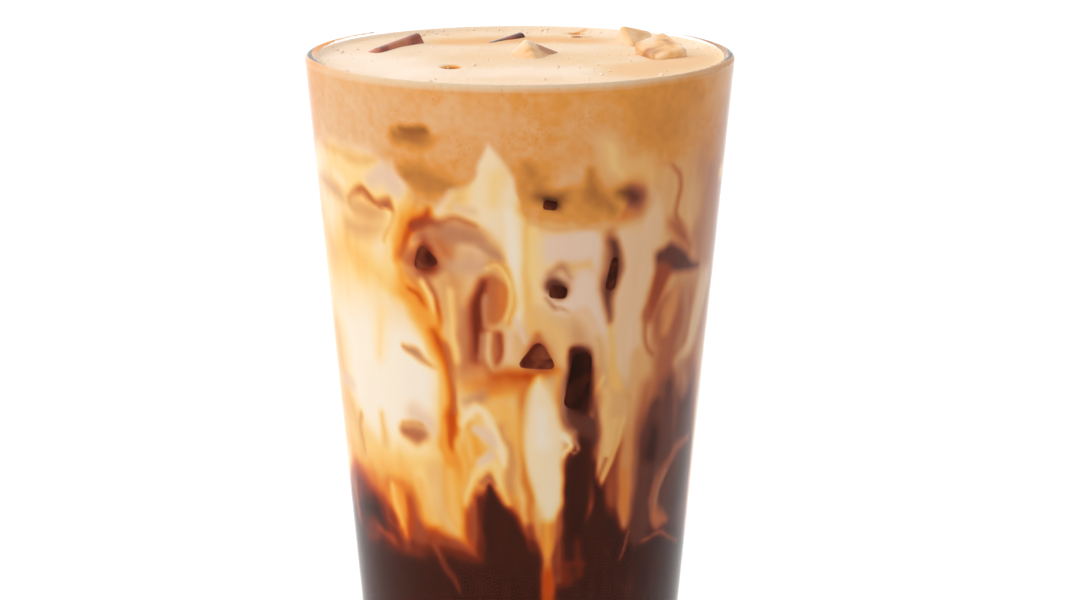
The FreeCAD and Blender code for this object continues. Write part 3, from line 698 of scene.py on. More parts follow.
def noise(x, y, z, seed):
    """Smooth noise from -0.5 to 0.5 over coordinates in cells."""
    i, j, k = np.floor(x), np.floor(y), np.floor(z)
    fx, fy, fz = smooth(x - i), smooth(y - j), smooth(z - k)
    total = 0.0
    for di in (0, 1):
        for dj in (0, 1):
            for dk in (0, 1):
                weight = (fx if di else 1 - fx) * (fy if dj else 1 - fy) * (fz if dk else 1 - fz)
                total = total + weight * lattice(i + di, j + dj, k + dk, seed)
    return total - 0.5


def wall_noise(angle, height, cell, stretch, seed):
    """Noise that meets itself round the glass: cells of `cell` mm, `stretch` times as tall."""
    a = np.radians(angle)
    k = WALL_RADIUS / cell
    away = 50  # cells from the hash's own corner, where it repeats
    return noise(np.sin(a) * k + away, np.cos(a) * k + away, height / (cell * stretch) + away, seed)


def top_noise(x, y, cell, layer, seed, away=40):
    """Noise over the froth's surface, in cells of `cell` mm."""
    return noise(x / cell + away, y / cell + away, 0 * x + layer, seed)


def curve(places):
    """A stroke's places, across and up in mm, with more between them on a smooth curve."""
    points = np.array([(math.radians(a) * WALL_RADIUS, h, w) for a, h, w in places])
    if len(points) < 3:
        return points
    padded = np.vstack((2 * points[0] - points[1], points, 2 * points[-1] - points[-2]))
    t = np.linspace(0, 1, CURVE_STEPS, endpoint=False)[:, None]
    rows = []
    for p0, p1, p2, p3 in zip(padded, padded[1:], padded[2:], padded[3:]):
        bend, swing = 2 * p0 - 5 * p1 + 4 * p2 - p3, 3 * p1 - p0 - 3 * p2 + p3
        rows.append(0.5 * (2 * p1 + (p2 - p0) * t + bend * t**2 + swing * t**3))
    fine = np.vstack(rows + [points[-1:]])
    fine[:, 2] = np.clip(fine[:, 2], THINNEST, None)
    return fine


def beyond(line, u, v):
    """How far each point lies outside a stroke that swells and narrows along its line, in mm."""
    nearest = np.full(u.shape, np.inf)
    for (u0, v0, w0), (u1, v1, w1) in zip(line, line[1:]):
        du, dv = u1 - u0, v1 - v0
        t = np.clip(((u - u0) * du + (v - v0) * dv) / (du * du + dv * dv), 0, 1)
        nearest = np.minimum(nearest, np.hypot(u - u0 - t * du, v - v0 - t * dv) - (w0 + t * (w1 - w0)))
    return nearest


def cover(u, v, places, softness):
    """How much a stroke on the drink's side covers each point, from 0 to 1."""
    line = curve(places)
    left, right = line[:, 0].min(), line[:, 0].max()
    middle, half_round = (left + right) / 2, math.pi * WALL_RADIUS
    u = (u - middle + half_round) % (2 * half_round) - half_round + middle
    margin = line[:, 2].max() + softness
    near = (np.abs(u - middle) < right - middle + margin) & (v > line[:, 1].min() - margin)
    near &= v < line[:, 1].max() + margin
    covered = np.zeros(u.shape)
    covered[near] = smooth(0.5 - beyond(line, u[near], v[near]) / softness)
    return covered


def marble(angle, height):
    """Strength, dullness, foam and foam shade at each point on the drink's side."""
    straight_u = np.radians(angle) * WALL_RADIUS
    # The drift wavers every stroke by up to about 1 mm, in swirls 7 and 2.6 mm wide.
    drift_u = wall_noise(angle, height, 7, 1.0, 3) * 1.2 + wall_noise(angle, height, 2.6, 1.3, 5) * 1.0
    drift_v = wall_noise(angle, height, 7, 1.0, 7) * 1.2 + wall_noise(angle, height, 2.6, 1.3, 9) * 1.0
    u, v = straight_u + drift_u, height + drift_v

    # Milk over coffee, with a ragged boundary pulled into long drips.
    ragged = wall_noise(angle, height, 9, 4.0, 11) * 26 + wall_noise(angle, height, 4, 4.0, 13) * 10
    depth = (COFFEE_LINE + ragged - v) / 12
    clear = smooth((np.abs(angle - 60) - 20) / 60)  # 0 on the right, where painted shade darkens and dulls the milk, as the light falls off to that side
    veil = smooth((wall_noise(angle, height, 16, 2.0, 17) + 0.1) * 3)
    clouds = wall_noise(angle, height, 5.5, 1.6, 37) * 0.16 + wall_noise(angle, height, 2.4, 2.2, 39) * 0.08
    # Towards the right the milk is painted darker and duller: painted shade.
    milky = 0.13 + 0.17 * (1 - clear) + 0.08 * veil + clouds
    strength = milky + (INKS["coffee"][0] - milky) * smooth(depth + 0.5)
    dull = 0.12 + 0.45 * (1 - clear) + 0.35 * veil

    for strokes, across, up, spread in ((STROKES, u, v, SOFTEN), (ICE_SHADES, straight_u, height, 1)):
        for ink, softness, *places in strokes:
            amount = cover(across, up, places, softness * spread)
            strength = blend(strength, INKS[ink][0], amount)
            dull = blend(dull, INKS[ink][1], amount)

    # Fine streaks that follow the flow, fainter in clean milk.
    streaks = wall_noise(angle, height, 1.6, 4.0, 19)
    strength = np.clip(strength + streaks * 0.05 * smooth(strength * 4 + 0.25), 0, 1)

    edge = np.interp(angle, [a for a, h in FOAM_EDGE], [h for a, h in FOAM_EDGE])
    edge = edge + wall_noise(angle, height, 3.2, 1.0, 23) * 3.0
    edge_softness = np.interp(np.abs(angle), (20, 60), (3.0, 6.0))
    foam = smooth((height + drift_v * 0.4 - edge) / edge_softness + 0.5)
    for amount, softness, *places in FOAM_VEILS:
        foam = foam * (1 - amount * cover(u, v, places, softness))
    shade = np.full(foam.shape, FOAM_SHADE)
    for tint, softness, *places in FOAM_PATCHES:
        shade = blend(shade, tint, cover(u, v, places, softness))
    for cell, stretch, seed, swing in ((6, 0.8, 29, 0.07), (2.4, 1.0, 33, 0.05), (1.0, 1.0, 31, 0.08)):
        shade = shade + wall_noise(angle, height, cell, stretch, seed) * swing
    return strength, dull, foam, np.clip(shade, 0, 1)


def side_strokes():
    """The marbling carried round the sides and the back with the same kinds of strokes."""
    rng = random.Random(47)
    strokes = []
    for k in range(11):
        angle = 92 + 17 * k + rng.uniform(-4, 4)
        lean = rng.uniform(-7, 7)
        top = rng.uniform(88, 118)
        foot = rng.uniform(52, 66)
        half, end = angle + lean / 2, angle + lean
        middle = (top + foot) / 2
        kind = k % 4
        if kind == 0:  # a finger of milk with an orange edge
            strokes += [
                ("orange", 3.5, (angle - 2, top, 2), (half, middle, 5), (end, foot - 6, 2.4)),
                ("cream", 2.4, (angle, top, 1.6), (half, middle, 4), (end, foot, 1.6)),
                ("milk", 3, (angle, top - 6, 1), (half, middle, 2)),
            ]
        elif kind == 1:  # a column of coffee that reaches up into the milk
            strokes += [
                ("brown", 4.5, (angle, top - 8, 1.6), (end, foot, 5)),
                ("mauve", 3, (angle + 1, top - 14, 0.8), (end, foot, 4), (end, 46, 5)),
            ]
        elif kind == 2:  # a red stream that turns orange
            strokes += [
                ("honey", 4, (angle - 3, top, 1.5), (end, 78, 3), (angle, foot, 3)),
                ("rust", 2.2, (angle - 3, top, 0.8), (angle - 1 + lean / 2, 92, 1.3), (end, 74, 1)),
            ]
        else:  # a pale lobe with a tan veil beside it
            strokes += [
                ("tan", 5, (angle + 6, top, 3), (angle + 5, 80, 4), (angle + 2, foot, 2)),
                ("cloudy milk", 3, (angle, top, 3), (angle - 1, top - 14, 4.5), (angle + 1, top - 24, 2)),
            ]
        strokes += [
            ("tan", 1.6, (angle + 8, foot + 16, 0.5), (angle + 5, foot + 8, 0.7), (angle + 1, foot - 2, 0.3)),
            ("butter", 3, (angle - 9, 127, 1.6), (angle + 2, 126, 2.2)),
        ]
    return tuple(strokes)


STROKES = FRONT_STROKES + side_strokes()


# ---- Materials ---------------------------------------------------------------------------------

MARBLING = ("strength", "dullness", "foaminess", "shade")


def clear_glass():
    """Pressed and fire-polished soda-lime glass: clear, mirror smooth, grey only at its edges."""
    look = looks("glass")
    material, tree, here = new_material("soda_lime_glass")
    # Faint waviness from pressing, 25 mm long.
    waves = add(tree, "ShaderNodeTexNoise", {"Scale": 1 / (25 * MM), "Detail": 1.0}, here)
    bump = add(tree, "ShaderNodeBump", {"Strength": 0.03, "Distance": 0.0005}, {"Height": (waves, "Fac")})
    shader = add(
        tree,
        "ShaderNodeBsdfPrincipled",
        {
            "Base Color": (*look.tint, 1),
            "Roughness": look.roughness,
            "IOR": look.ior,
            "Transmission Weight": 1.0,
            "Specular Tint": (0.25, 0.25, 0.26, 1),
        },
        {"Normal": (bump, "Normal")},
    )
    add(tree, "ShaderNodeOutputMaterial", None, {"Surface": (shader, "BSDF")})
    return material


def marbled_drink():
    """Coffee and milk half mixed, with foam over them: opaque, wet, soft-edged clouds of colour."""
    drink, foam = looks("drink"), looks("foam")
    material, tree, here = new_material("marbled_iced_coffee")
    strength, dullness, foaminess, shade = (
        add(tree, "ShaderNodeAttribute", {"attribute_name": name}) for name in MARBLING
    )
    warm = fill_ramp(
        add(tree, "ShaderNodeValToRGB", None, {"Fac": (strength, "Fac")}),
        (
            (0.0, drink.milk),
            (0.12, drink.cream),
            (0.25, drink.butter),
            (0.38, drink.honey),
            (0.5, drink.orange),
            (0.62, drink.rust),
            (0.75, drink.mahogany),
            (0.88, drink.coffee),
            (1.0, drink.black),
        ),
    )
    # The dull ramp also gives the painted shade on the drink's right side.
    dull = fill_ramp(
        add(tree, "ShaderNodeValToRGB", None, {"Fac": (strength, "Fac")}),
        ((0.0, drink.cloud), (0.25, drink.blush), (0.5, drink.tan), (0.75, drink.mauve), (1.0, drink.murk)),
    )
    liquid = add(
        tree,
        "ShaderNodeMix",
        {"data_type": "RGBA"},
        {"Factor": (dullness, "Fac"), COLOUR_A: (warm, "Color"), COLOUR_B: (dull, "Color")},
    )
    # Foam bubbles are 0.1 to 0.3 mm across, drawn at 0.6 mm so that they show, in patches 6 mm wide.
    cells = add(tree, "ShaderNodeTexVoronoi", {"Scale": 1 / (0.6 * MM)}, here)
    specks = add(
        tree,
        "ShaderNodeMapRange",
        {"From Min": 0.0, "From Max": 0.35, "To Min": 0.16, "To Max": 0.0},
        {"Value": (cells, "Distance")},
    )
    patches = add(tree, "ShaderNodeTexNoise", {"Scale": 1 / (6 * MM), "Detail": 1.0}, here)
    gate = add(tree, "ShaderNodeMapRange", {"From Min": 0.5, "From Max": 0.65}, {"Value": (patches, "Fac")})
    gated = add(
        tree, "ShaderNodeMath", {"operation": "MULTIPLY"}, {0: (specks, "Result"), 1: (gate, "Result")}
    )
    speckled = add(tree, "ShaderNodeMath", {"operation": "ADD"}, {0: (shade, "Fac"), 1: (gated, "Value")})
    froth = fill_ramp(
        add(tree, "ShaderNodeValToRGB", None, {"Fac": (speckled, "Value")}),
        ((0.0, foam.pale), (0.22, foam.froth), (0.5, foam.crema), (0.78, foam.brown), (1.0, foam.deep)),
    )
    colours = add(
        tree,
        "ShaderNodeMix",
        {"data_type": "RGBA"},
        {"Factor": (foaminess, "Fac"), COLOUR_A: (liquid, MIXED), COLOUR_B: (froth, "Color")},
    )
    # Foam is rougher than the liquid, with a grain 0.9 mm wide.
    rough = add(tree, "ShaderNodeMapRange", {"To Min": 0.32, "To Max": 0.6}, {"Value": (foaminess, "Fac")})
    grain = add(tree, "ShaderNodeTexNoise", {"Scale": 1 / (0.9 * MM), "Detail": 3.0}, here)
    relief = add(
        tree, "ShaderNodeMath", {"operation": "MULTIPLY"}, {0: (grain, "Fac"), 1: (foaminess, "Fac")}
    )
    bump = add(tree, "ShaderNodeBump", {"Strength": 0.35, "Distance": 0.0003}, {"Height": (relief, "Value")})
    shader = add(
        tree,
        "ShaderNodeBsdfPrincipled",
        {"IOR": 1.34, "Specular IOR Level": 0.0},
        {"Base Color": (colours, MIXED), "Roughness": (rough, "Result"), "Normal": (bump, "Normal")},
    )
    add(tree, "ShaderNodeOutputMaterial", None, {"Surface": (shader, "BSDF")})
    return material


def wet_ice(name, deep, middle, pale):
    """Melting ice: glossy, stained by the coffee round it, paler where thin foam clings to it."""
    material, tree, here = new_material(name)
    # Clouds in the ice are about 8 mm across, with cracks about 3 mm apart.
    clouds = add(tree, "ShaderNodeTexNoise", {"Scale": 1 / (8 * MM), "Detail": 2.0, "Distortion": 0.8}, here)
    tints = fill_ramp(
        add(tree, "ShaderNodeValToRGB", None, {"Fac": (clouds, "Fac")}),
        ((0.34, deep), (0.48, middle), (0.64, pale)),
    )
    cracks = add(tree, "ShaderNodeTexNoise", {"Scale": 1 / (3 * MM), "Detail": 3.0, "Distortion": 1.2}, here)
    bump = add(tree, "ShaderNodeBump", {"Strength": 0.35, "Distance": 0.0007}, {"Height": (cracks, "Fac")})
    shader = add(
        tree,
        "ShaderNodeBsdfPrincipled",
        {
            "Roughness": 0.1,
            "IOR": 1.31,
            "Specular IOR Level": 0.5,
            "Coat Weight": 0.8,
            "Coat Roughness": 0.03,
        },
        {"Base Color": (tints, "Color"), "Normal": (bump, "Normal")},
    )
    add(tree, "ShaderNodeOutputMaterial", None, {"Surface": (shader, "BSDF")})
    return material


def dark_ice():
    """Ice against the glass with coffee behind it: a dark, clear window with red-brown depths."""
    ice, drink = looks("ice"), looks("drink")
    material, tree, here = new_material("coffee_dark_ice")
    # Cracks and veils in the cube, about 3 mm apart; the paler veils, in the stained colour, are partly
    # painted highlights.
    veils_and_glints = add(tree, "ShaderNodeTexNoise", {"Scale": 1 / (3 * MM), "Detail": 2.0, "Distortion": 0.6}, here)
    tints = fill_ramp(
        add(tree, "ShaderNodeValToRGB", None, {"Fac": (veils_and_glints, "Fac")}),
        ((0.3, drink.coffee), (0.48, ice.shadow), (0.66, ice.stained)),
    )
    depths = fill_ramp(
        add(tree, "ShaderNodeValToRGB", None, {"Fac": (veils_and_glints, "Fac")}),
        ((0.4, drink.black), (0.7, ice.depth)),
    )
    stain = add(tree, "ShaderNodeAttribute", {"attribute_name": "stain"})
    mixed = add(
        tree,
        "ShaderNodeMix",
        {"data_type": "RGBA"},
        {"Factor": (stain, "Fac"), COLOUR_A: (tints, "Color"), COLOUR_B: (depths, "Color")},
    )
    shader = add(
        tree,
        "ShaderNodeBsdfPrincipled",
        {"Roughness": 0.3, "IOR": 1.31, "Specular IOR Level": 0.0},
        {"Base Color": (mixed, MIXED)},
    )
    add(tree, "ShaderNodeOutputMaterial", None, {"Surface": (shader, "BSDF")})
    return material


def bubble_film():
    """Bubble film: thin, glossy and pale, the colour of the froth under it."""
    foam = looks("foam")
    material, tree, here = new_material("foam_bubbles")
    # Each bubble gets its own tint from a pattern coarser than it.
    tone = add(tree, "ShaderNodeTexNoise", {"Scale": 1 / (4 * MM)}, here)
    tints = fill_ramp(
        add(tree, "ShaderNodeValToRGB", None, {"Fac": (tone, "Fac")}), ((0.35, foam.froth), (0.65, foam.pale))
    )
    shader = add(
        tree,
        "ShaderNodeBsdfPrincipled",
        {"Roughness": 0.1, "IOR": 1.33, "Coat Weight": 0.6, "Coat Roughness": 0.05},
        {"Base Color": (tints, "Color")},
    )
    add(tree, "ShaderNodeOutputMaterial", None, {"Surface": (shader, "BSDF")})
    return material


def cover_node(node, material):
    """Gives a piece of the packed model its material."""
    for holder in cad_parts[node].material_slots:
        holder.material = material


# ---- The drink ---------------------------------------------------------------------------------


def filling(low, high, row, press=PRESS):
    """A closed body that fills the glass between two heights, and reaches `press` mm into its wall."""
    clear_selection()
    bpy.ops.mesh.primitive_cone_add(
        vertices=SEGMENTS,
        radius1=(wall(low) + press) * MM,
        radius2=(wall(high) + press) * MM,
        depth=(high - low) * MM,
        end_fill_type="NOTHING",
        location=(0, 0, (low + high) / 2 * MM),
    )
    piece = bpy.context.object
    settle(piece)
    choose(piece, "EDGE", np.abs(np.diff(edge_heights(piece))[:, 0]) > TOUCH)
    bpy.ops.mesh.subdivide(number_cuts=max(1, round((high - low) / row) - 1))
    leave_edit()
    for end in (low, high):
        choose(piece, "EDGE", (np.abs(edge_heights(piece) - end * MM) < TOUCH).all(axis=1))
        bpy.ops.mesh.edge_face_add()
        leave_edit()
    return piece


def round_foot(piece):
    """Draws the rings near the floor in, as the glass's inner corner does."""
    co = coordinates(piece) / MM
    below = FLOOR_ROUND - np.clip(co[:, 2] - DRINK_FLOOR, 0, FLOOR_ROUND)
    drawn_in = FLOOR_ROUND - np.sqrt(FLOOR_ROUND**2 - below**2)
    co[:, :2] *= (1 - drawn_in / np.hypot(co[:, 0], co[:, 1]))[:, None]
    put(piece, co * MM)


def ring_inward(piece, height, step, count):
    """Cuts the flat end at a height into rings, each `step` mm inside the last."""
    for ring in range(count):
        faces = piece.data.polygons
        choose(piece, "FACE", [abs(f.center.z - height * MM) < TOUCH and len(f.vertices) > 4 for f in faces])
        bpy.ops.mesh.inset(thickness=step * MM, depth=0)
        leave_edit()


# Patches on the froth: (shade, softness in mm, places (x, y, half-width) in mm).
SURFACE_PATCHES = (
    (0, 16, (-34, 4, 8), (-24, -16, 10)),
    (0.05, 9, (-6, -18, 6), (12, -16, 6)),
    (0.34, 9, (-16, 26, 5), (0, 28, 6), (14, 26, 5)),
    (0.28, 10, (24, -14, 8), (34, 0, 8)),
    (0.2, 8, (12, 2, 5), (20, 8, 5)),
    (0.22, 14, (-8, 4, 6), (8, 2, 6)),
    (0.5, 1.2, (10, 37, 0.3), (14, 39, 0.35)),
)
SURFACE_SHADE = 0.14  # where no patch says otherwise
RIM_SHADE = 0.06  # where the froth dries on the glass
# Small openings in the froth where the drink shows: (x, y, half-width, half-length) in mm.
OPENINGS = ((-14, -9.5, 1.6, 2.4), (12, 37, 1.2, 1))
OPENING_DEPTH = 0.9  # mm
MENISCUS_FALL = 1.5  # how fast the meniscus dies away, per mm from the glass
CALM_EDGE = 2.4  # mm from the glass over which the ripples grow to their full height
DRY_EDGE = 0.6  # mm from the glass over which the froth dries


def meniscus(inward):
    """How high the froth climbs, in mm, at a distance in mm from the glass."""
    return looks("foam").meniscus / MM * np.exp(-MENISCUS_FALL * inward)


def froth_surface(piece, foaminess, shade):
    """Shapes the foam's top, with a meniscus, ripples and openings, and gives back its colouring."""
    co = coordinates(piece) / MM
    x, y = co[:, 0], co[:, 1]
    top = co[:, 2] > DRINK_TOP - TOUCH / MM
    inward = wall(DRINK_TOP) + PRESS - np.hypot(x, y)
    ripple = top_noise(x, y, 9, 0.5, 65) * 1.6 + top_noise(x, y, 3, 0.5, 67) * 0.5
    ripple = ripple * looks("foam").ripple / MM * smooth(inward / CALM_EDGE)
    sunk = np.zeros(x.shape)
    for middle_x, middle_y, half_x, half_y in OPENINGS:
        sunk = np.maximum(sunk, smooth(1.6 - np.hypot((x - middle_x) / half_x, (y - middle_y) / half_y)))
    co[:, 2] += np.where(top, meniscus(inward) + ripple - sunk * OPENING_DEPTH, 0)
    put(piece, co * MM)

    # The patches' edges waver by up to 2.5 mm, in swirls 7 mm wide.
    wander_x = x + top_noise(x, y, 7, 3.3, 61) * 5
    wander_y = y + top_noise(x, y, 7, 3.3, 63) * 5
    above = SURFACE_SHADE + top_noise(x, y, 6, 9.5, 69) * 0.16 + top_noise(x, y, 1.1, 2.5, 71, away=90) * 0.06
    for tint, softness, *places in SURFACE_PATCHES:
        above = blend(above, tint, smooth(0.5 - beyond(places, wander_x, wander_y) / softness))
    above = np.clip(blend(above, 1.0, sunk), 0, 1)
    above = blend(above, RIM_SHADE, smooth(1 - inward / DRY_EDGE) * 0.7)
    return np.where(top, 1, foaminess), np.where(top, above, shade)


class ICED_OT_drink(bpy.types.Operator):
    """Builds the three layers of the drink, marbled together where they meet the glass"""

    bl_idname = "iced_drink.drink"
    bl_label = "Build the Drink"

    def execute(self, context):
        material = marbled_drink()
        espresso = filling(DRINK_FLOOR + FLOOR_GAP, ESPRESSO_TOP, ROW)
        round_foot(espresso)
        milk = filling(ESPRESSO_TOP, FOAM_BASE, ROW)
        foam = filling(FOAM_BASE, DRINK_TOP, FOAM_ROW)
        ring_inward(foam, DRINK_TOP, SURFACE_STEP, SURFACE_RINGS)
        for piece, name, slot in (
            (espresso, "espresso_layer", "espresso"),
            (milk, "milk_layer", "milk"),
            (foam, "foam_layer", "coffee_foam"),
        ):
            outward(piece)
            x, y, height = coordinates(piece).T / MM
            strength, dullness, foaminess, shade = marble(np.degrees(np.arctan2(x, -y)), height)
            if piece is foam:
                foaminess, shade = froth_surface(piece, foaminess, shade)
            paint(piece, dict(zip(MARBLING, (strength, dullness, foaminess, shade))))
            hand_over(piece, name, material, crease=50)
        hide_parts("espresso")
        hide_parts("milk")
        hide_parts("coffee_foam")
        return {"FINISHED"}


class ICED_OT_glass(bpy.types.Operator):
    """Gives the tumbler its glass"""

    bl_idname = "iced_drink.glass"
    bl_label = "Finish the Glass"

    def execute(self, context):
        cover_node("glass", clear_glass())
        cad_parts["glass"].visible_shadow = False  # clear glass lets the lamps reach the drink
        return {"FINISHED"}


class ICED_OT_surface_ice(bpy.types.Operator):
    """Gives the ice that breaks the surface its wet, coffee-stained look"""

    bl_idname = "iced_drink.surface_ice"
    bl_label = "Finish the Surface Ice"

    def execute(self, context):
        ice = looks("ice")
        amber = wet_ice("amber_wet_ice", ice.amber, ice.clear, looks("foam").froth)
        for node in ("ice_centre", "ice_ridge", "ice_rear", "ice_right"):
            cover_node(node, amber)
        cover_node("ice_left", wet_ice("coffee_stained_ice", ice.stained, ice.brick, ice.amber))
        cover_node("ice_back", wet_ice("coffee_dark_wet_ice", looks("drink").black, ice.depth, ice.stained))
        return {"FINISHED"}


# Sunk ice: (angle, height, (deep, wide, tall), (yaw, pitch, roll), reach past the wall, stain), in
# degrees and mm, with stain from 0, red-brown, to 1, black coffee.
# Turns are about the upright, the wall's tangent and the line out. A corner shows a triangle,
# an upright edge a long window, and a narrow end a small one.
CORNER = (45, 35.3)
SUNK_ICE = (
    (-29.2, 113.8, (16, 16, 16), (*CORNER, 196), 2.7, 0.3),
    (5.6, 94, (16, 16, 16), (*CORNER, 176), 3.2, 0.2),
    (11, 108, (12, 4.2, 3.4), (8, 4, -12), 0.6, 0.7),
    (8.8, 125.8, (12, 2.8, 2), (0, 4, -8), 0.5, 0.6),
    (28.9, 111, (10, 10, 8), (45, 3, -6), 1.2, 0.8),
    (19.4, 89, (12, 12, 12), (44, 3, -6), 2.5, 1),
    (97, 104, (16, 16, 16), (*CORNER, 20), 2.8, 0.3),
    (118, 84, (11, 11, 14), (45, 4, 8), 2.4, 0.3),
    (128, 117, (12, 4.6, 3.4), (5, 6, 20), 0.6, 0.3),
    (146, 103, (16, 16, 16), (*CORNER, 50), 3, 0.3),
    (166, 90, (11, 11, 12), (45, -4, -10), 2.2, 0.3),
    (188, 109, (16, 16, 16), (*CORNER, 5), 2.8, 0.3),
    (211, 82, (12, 12, 14), (45, 6, 6), 2.6, 0.3),
    (233, 101, (16, 16, 16), (*CORNER, 35), 3.1, 0.3),
    (248, 121, (12, 4, 3), (0, -4, -20), 0.6, 0.3),
    (263, 90, (11, 11, 12), (45, 3, -8), 2, 0.3),
)
WINDOW_STAND = 0.12  # mm a sunk cube's face stands past the drink, pressed to the glass


def sunk_block(mould, angle, height, sides, turns, reach, stain):
    """One melting block of ice, cut off where the glass stops it."""
    a = math.radians(angle)
    out = Vector((math.sin(a), -math.cos(a), 0))
    tangent = Vector((math.cos(a), math.sin(a), 0))
    up = Vector((0, 0, 1))
    yaw, pitch, roll = (math.radians(degrees) for degrees in turns)
    turned = Matrix.Rotation(roll, 3, out) @ Matrix.Rotation(pitch, 3, tangent) @ Matrix.Rotation(yaw, 3, up)
    turned = turned @ Matrix((out, tangent, up)).transposed()
    away = sum(abs(turned.col[i].dot(out)) * sides[i] / 2 for i in range(3))
    middle = out * (wall(height) + PRESS + reach - away) + up * height
    clear_selection()
    bpy.ops.mesh.primitive_cube_add(size=MM)
    block = bpy.context.object
    put(block, coordinates(block) * np.array(sides))
    choose(block, "EDGE")
    bpy.ops.mesh.bevel(offset=min(looks("ice").melt, min(sides) * 0.3 * MM), segments=3, affect="EDGES")
    leave_edit()
    block.matrix_world = Matrix.LocRotScale(middle * MM, turned.to_quaternion(), None)
    settle(block)
    cut = block.modifiers.new("stopped by the glass", "BOOLEAN")
    cut.operation = "INTERSECT"
    cut.solver = "EXACT"
    cut.object = mould
    activate(block)
    bpy.ops.object.modifier_apply(modifier=cut.name)
    paint(block, {"stain": np.full(len(block.data.vertices), stain)})
    return block


class ICED_OT_sunk_ice(bpy.types.Operator):
    """Sinks melting ice cubes in the drink, each pressed against the glass"""

    bl_idname = "iced_drink.sunk_ice"
    bl_label = "Sink the Ice"

    def execute(self, context):
        mould = filling(DRINK_FLOOR, DRINK_TOP, DRINK_TOP, PRESS + WINDOW_STAND)
        outward(mould)
        piece = join([sunk_block(mould, *block) for block in SUNK_ICE])
        bpy.data.objects.remove(mould)
        hand_over(piece, "sunk_ice", dark_ice(), crease=30)
        return {"FINISHED"}


# Bubbles on the froth, in mm.
ALONG_WALL = 0.55  # the share of them that gather along the glass
SMALLEST, LARGEST = 0.12, 0.7  # radii
SIZE_SPREAD = 0.13  # how much the radii vary
WALL_SPREAD = 1.6  # how far from the glass its bubbles lie
INNER_SHARE = 0.96  # the share of the surface's radius that the others keep to
BUBBLE_DIP = 0.05  # how far a bubble's middle lies under the froth


class ICED_OT_bubbles(bpy.types.Operator):
    """Scatters bubbles over the froth, thickest along the glass"""

    bl_idname = "iced_drink.bubbles"
    bl_label = "Scatter the Bubbles"

    def execute(self, context):
        rng = random.Random(5)
        clear_selection()
        bpy.ops.mesh.primitive_ico_sphere_add(subdivisions=2, radius=MM)
        seed = bpy.context.object
        # Only the dome stands out of the froth.
        choose(seed, "VERT")
        bpy.ops.mesh.bisect(plane_co=(0, 0, -0.25 * MM), plane_no=(0, 0, -1), clear_outer=True, use_fill=True)
        leave_edit()
        dome = coordinates(seed) / MM
        copies = []
        for n in range(looks("foam").bubbles):
            along_wall = rng.random() < ALONG_WALL
            angle = rng.uniform(0, 2 * math.pi)
            radius = abs(rng.gauss(0, SIZE_SPREAD)) + SMALLEST
            if along_wall:
                reach = wall(DRINK_TOP) - radius - abs(rng.gauss(0, WALL_SPREAD))
            else:
                reach = wall(DRINK_TOP) * INNER_SHARE * math.sqrt(rng.random())
            height = DRINK_TOP + meniscus(wall(DRINK_TOP) - reach) - BUBBLE_DIP
            place = np.array((math.sin(angle) * reach, -math.cos(angle) * reach, height))
            copy = seed.copy()
            copy.data = seed.data.copy()
            bpy.context.collection.objects.link(copy)
            put(copy, (dome * min(radius, LARGEST) + place) * MM)
            copies.append(copy)
        bpy.data.objects.remove(seed)
        hand_over(join(copies), "surface_bubbles", bubble_film())
        return {"FINISHED"}


# ---- The stage ---------------------------------------------------------------------------------


def white_table():
    """A matt white table top with a faint tooth about 1 mm wide."""
    material, tree, here = new_material("matt_white_table")
    paper = add(tree, "ShaderNodeTexNoise", {"Scale": 900.0, "Detail": 2.0}, here)
    bump = add(tree, "ShaderNodeBump", {"Strength": 0.05, "Distance": 0.0002}, {"Height": (paper, "Fac")})
    shader = add(
        tree,
        "ShaderNodeBsdfPrincipled",
        {"Base Color": (*looks("stage").floor, 1), "Roughness": 0.8, "Specular IOR Level": 0.2},
        {"Normal": (bump, "Normal")},
    )
    add(tree, "ShaderNodeOutputMaterial", None, {"Surface": (shader, "BSDF")})
    return material


def soft_studio():
    """Light from all round that falls off from the left to the right."""
    look = looks("stage")
    world = bpy.data.worlds.new("soft_studio")
    world.use_nodes = True
    tree = world.node_tree
    tree.nodes.clear()
    way = add(tree, "ShaderNodeTexCoord")
    parts = add(tree, "ShaderNodeSeparateXYZ", None, {"Vector": (way, "Generated")})
    across = add(tree, "ShaderNodeMapRange", {"From Min": -0.9, "From Max": 0.9}, {"Value": (parts, "X")})
    dim = look.dim
    light = fill_ramp(
        add(tree, "ShaderNodeValToRGB", None, {"Fac": (across, "Result")}),
        ((0.0, (1, 1, 1)), (0.5, (0.5 + dim / 2,) * 3), (1.0, (dim, dim * 0.94, dim))),
    )
    sky = add(tree, "ShaderNodeBackground", {"Strength": look.bright}, {"Color": (light, "Color")})
    add(tree, "ShaderNodeOutputWorld", None, {"Surface": (sky, "Background")})
    return world


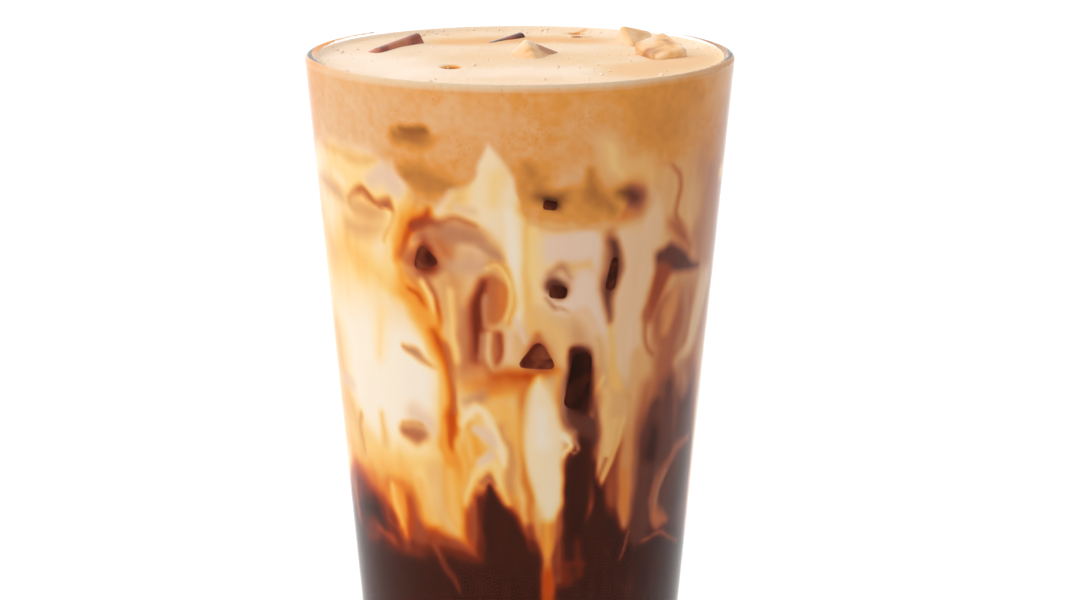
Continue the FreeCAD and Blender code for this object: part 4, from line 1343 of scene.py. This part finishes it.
class ICED_OT_stage(bpy.types.Operator):
    """Lays the floor and sets the light and the camera"""

    bl_idname = "iced_drink.stage"
    bl_label = "Set the Stage"

    def execute(self, context):
        look = looks("stage")
        scene = context.scene
        scene.view_settings.view_transform = "Standard"
        scene.world = soft_studio()

        # A round table 6 m across, with a ring of faces 0.4 m wide at its edge.
        clear_selection()
        bpy.ops.mesh.primitive_circle_add(vertices=128, radius=3.0, fill_type="NGON")
        floor = bpy.context.object
        choose(floor, "FACE")
        bpy.ops.mesh.inset(thickness=0.4)
        leave_edit()
        floor.name = "floor"
        floor.data.materials.append(white_table())

        bpy.ops.object.light_add(type="AREA", location=(-0.15, 0.1, 1.5))
        lamp = bpy.context.object
        lamp.name = "softbox_above"
        lamp.data.shape = "SQUARE"
        lamp.data.size = 1.8
        lamp.data.energy = look.top

        back, over = look.distance * math.cos(look.elevation), look.distance * math.sin(look.elevation)
        bpy.ops.object.camera_add(
            location=(look.aside, -back, RIM_HEIGHT * MM + over), rotation=(math.pi / 2 - look.pitch, 0, 0)
        )
        scene.camera = bpy.context.object
        scene.camera.data.lens = look.lens
        scene.camera.data.sensor_width = 36.0
        scene.camera.data.clip_start = 0.01
        clear_selection()
        return {"FINISHED"}


STEPS = (ICED_OT_glass, ICED_OT_drink, ICED_OT_surface_ice, ICED_OT_sunk_ice, ICED_OT_bubbles, ICED_OT_stage)


def group_name(look):
    return look.__name__.replace("Look", "").lower()


class ICED_PT_panel(bpy.types.Panel):
    """Every step of the iced drink, with its sizes and colours"""

    bl_idname = "ICED_PT_panel"
    bl_label = "Iced Drink"
    bl_space_type = "VIEW_3D"
    bl_region_type = "UI"
    bl_category = "Iced Drink"

    def draw(self, context):
        layout = self.layout
        for look in LOOKS:
            group = looks(group_name(look))
            box = layout.box()
            box.label(text=look.__doc__)
            for prop in look.__annotations__:
                box.prop(group, prop)
        for step in STEPS:
            layout.operator(step.bl_idname)


def register():
    for look in LOOKS:
        bpy.utils.register_class(look)
        setattr(bpy.types.Scene, "iced_drink_" + group_name(look), bpy.props.PointerProperty(type=look))
    for kind in STEPS + (ICED_PT_panel,):
        bpy.utils.register_class(kind)


def unregister():
    for kind in reversed(STEPS + (ICED_PT_panel,)):
        bpy.utils.unregister_class(kind)
    for look in reversed(LOOKS):
        delattr(bpy.types.Scene, "iced_drink_" + group_name(look))
        bpy.utils.unregister_class(look)


def main():
    register()
    bpy.ops.iced_drink.glass()
    bpy.ops.iced_drink.drink()
    bpy.ops.iced_drink.surface_ice()
    bpy.ops.iced_drink.sunk_ice()
    bpy.ops.iced_drink.bubbles()
    bpy.ops.iced_drink.stage()


if __name__ == "__main__":
    main()
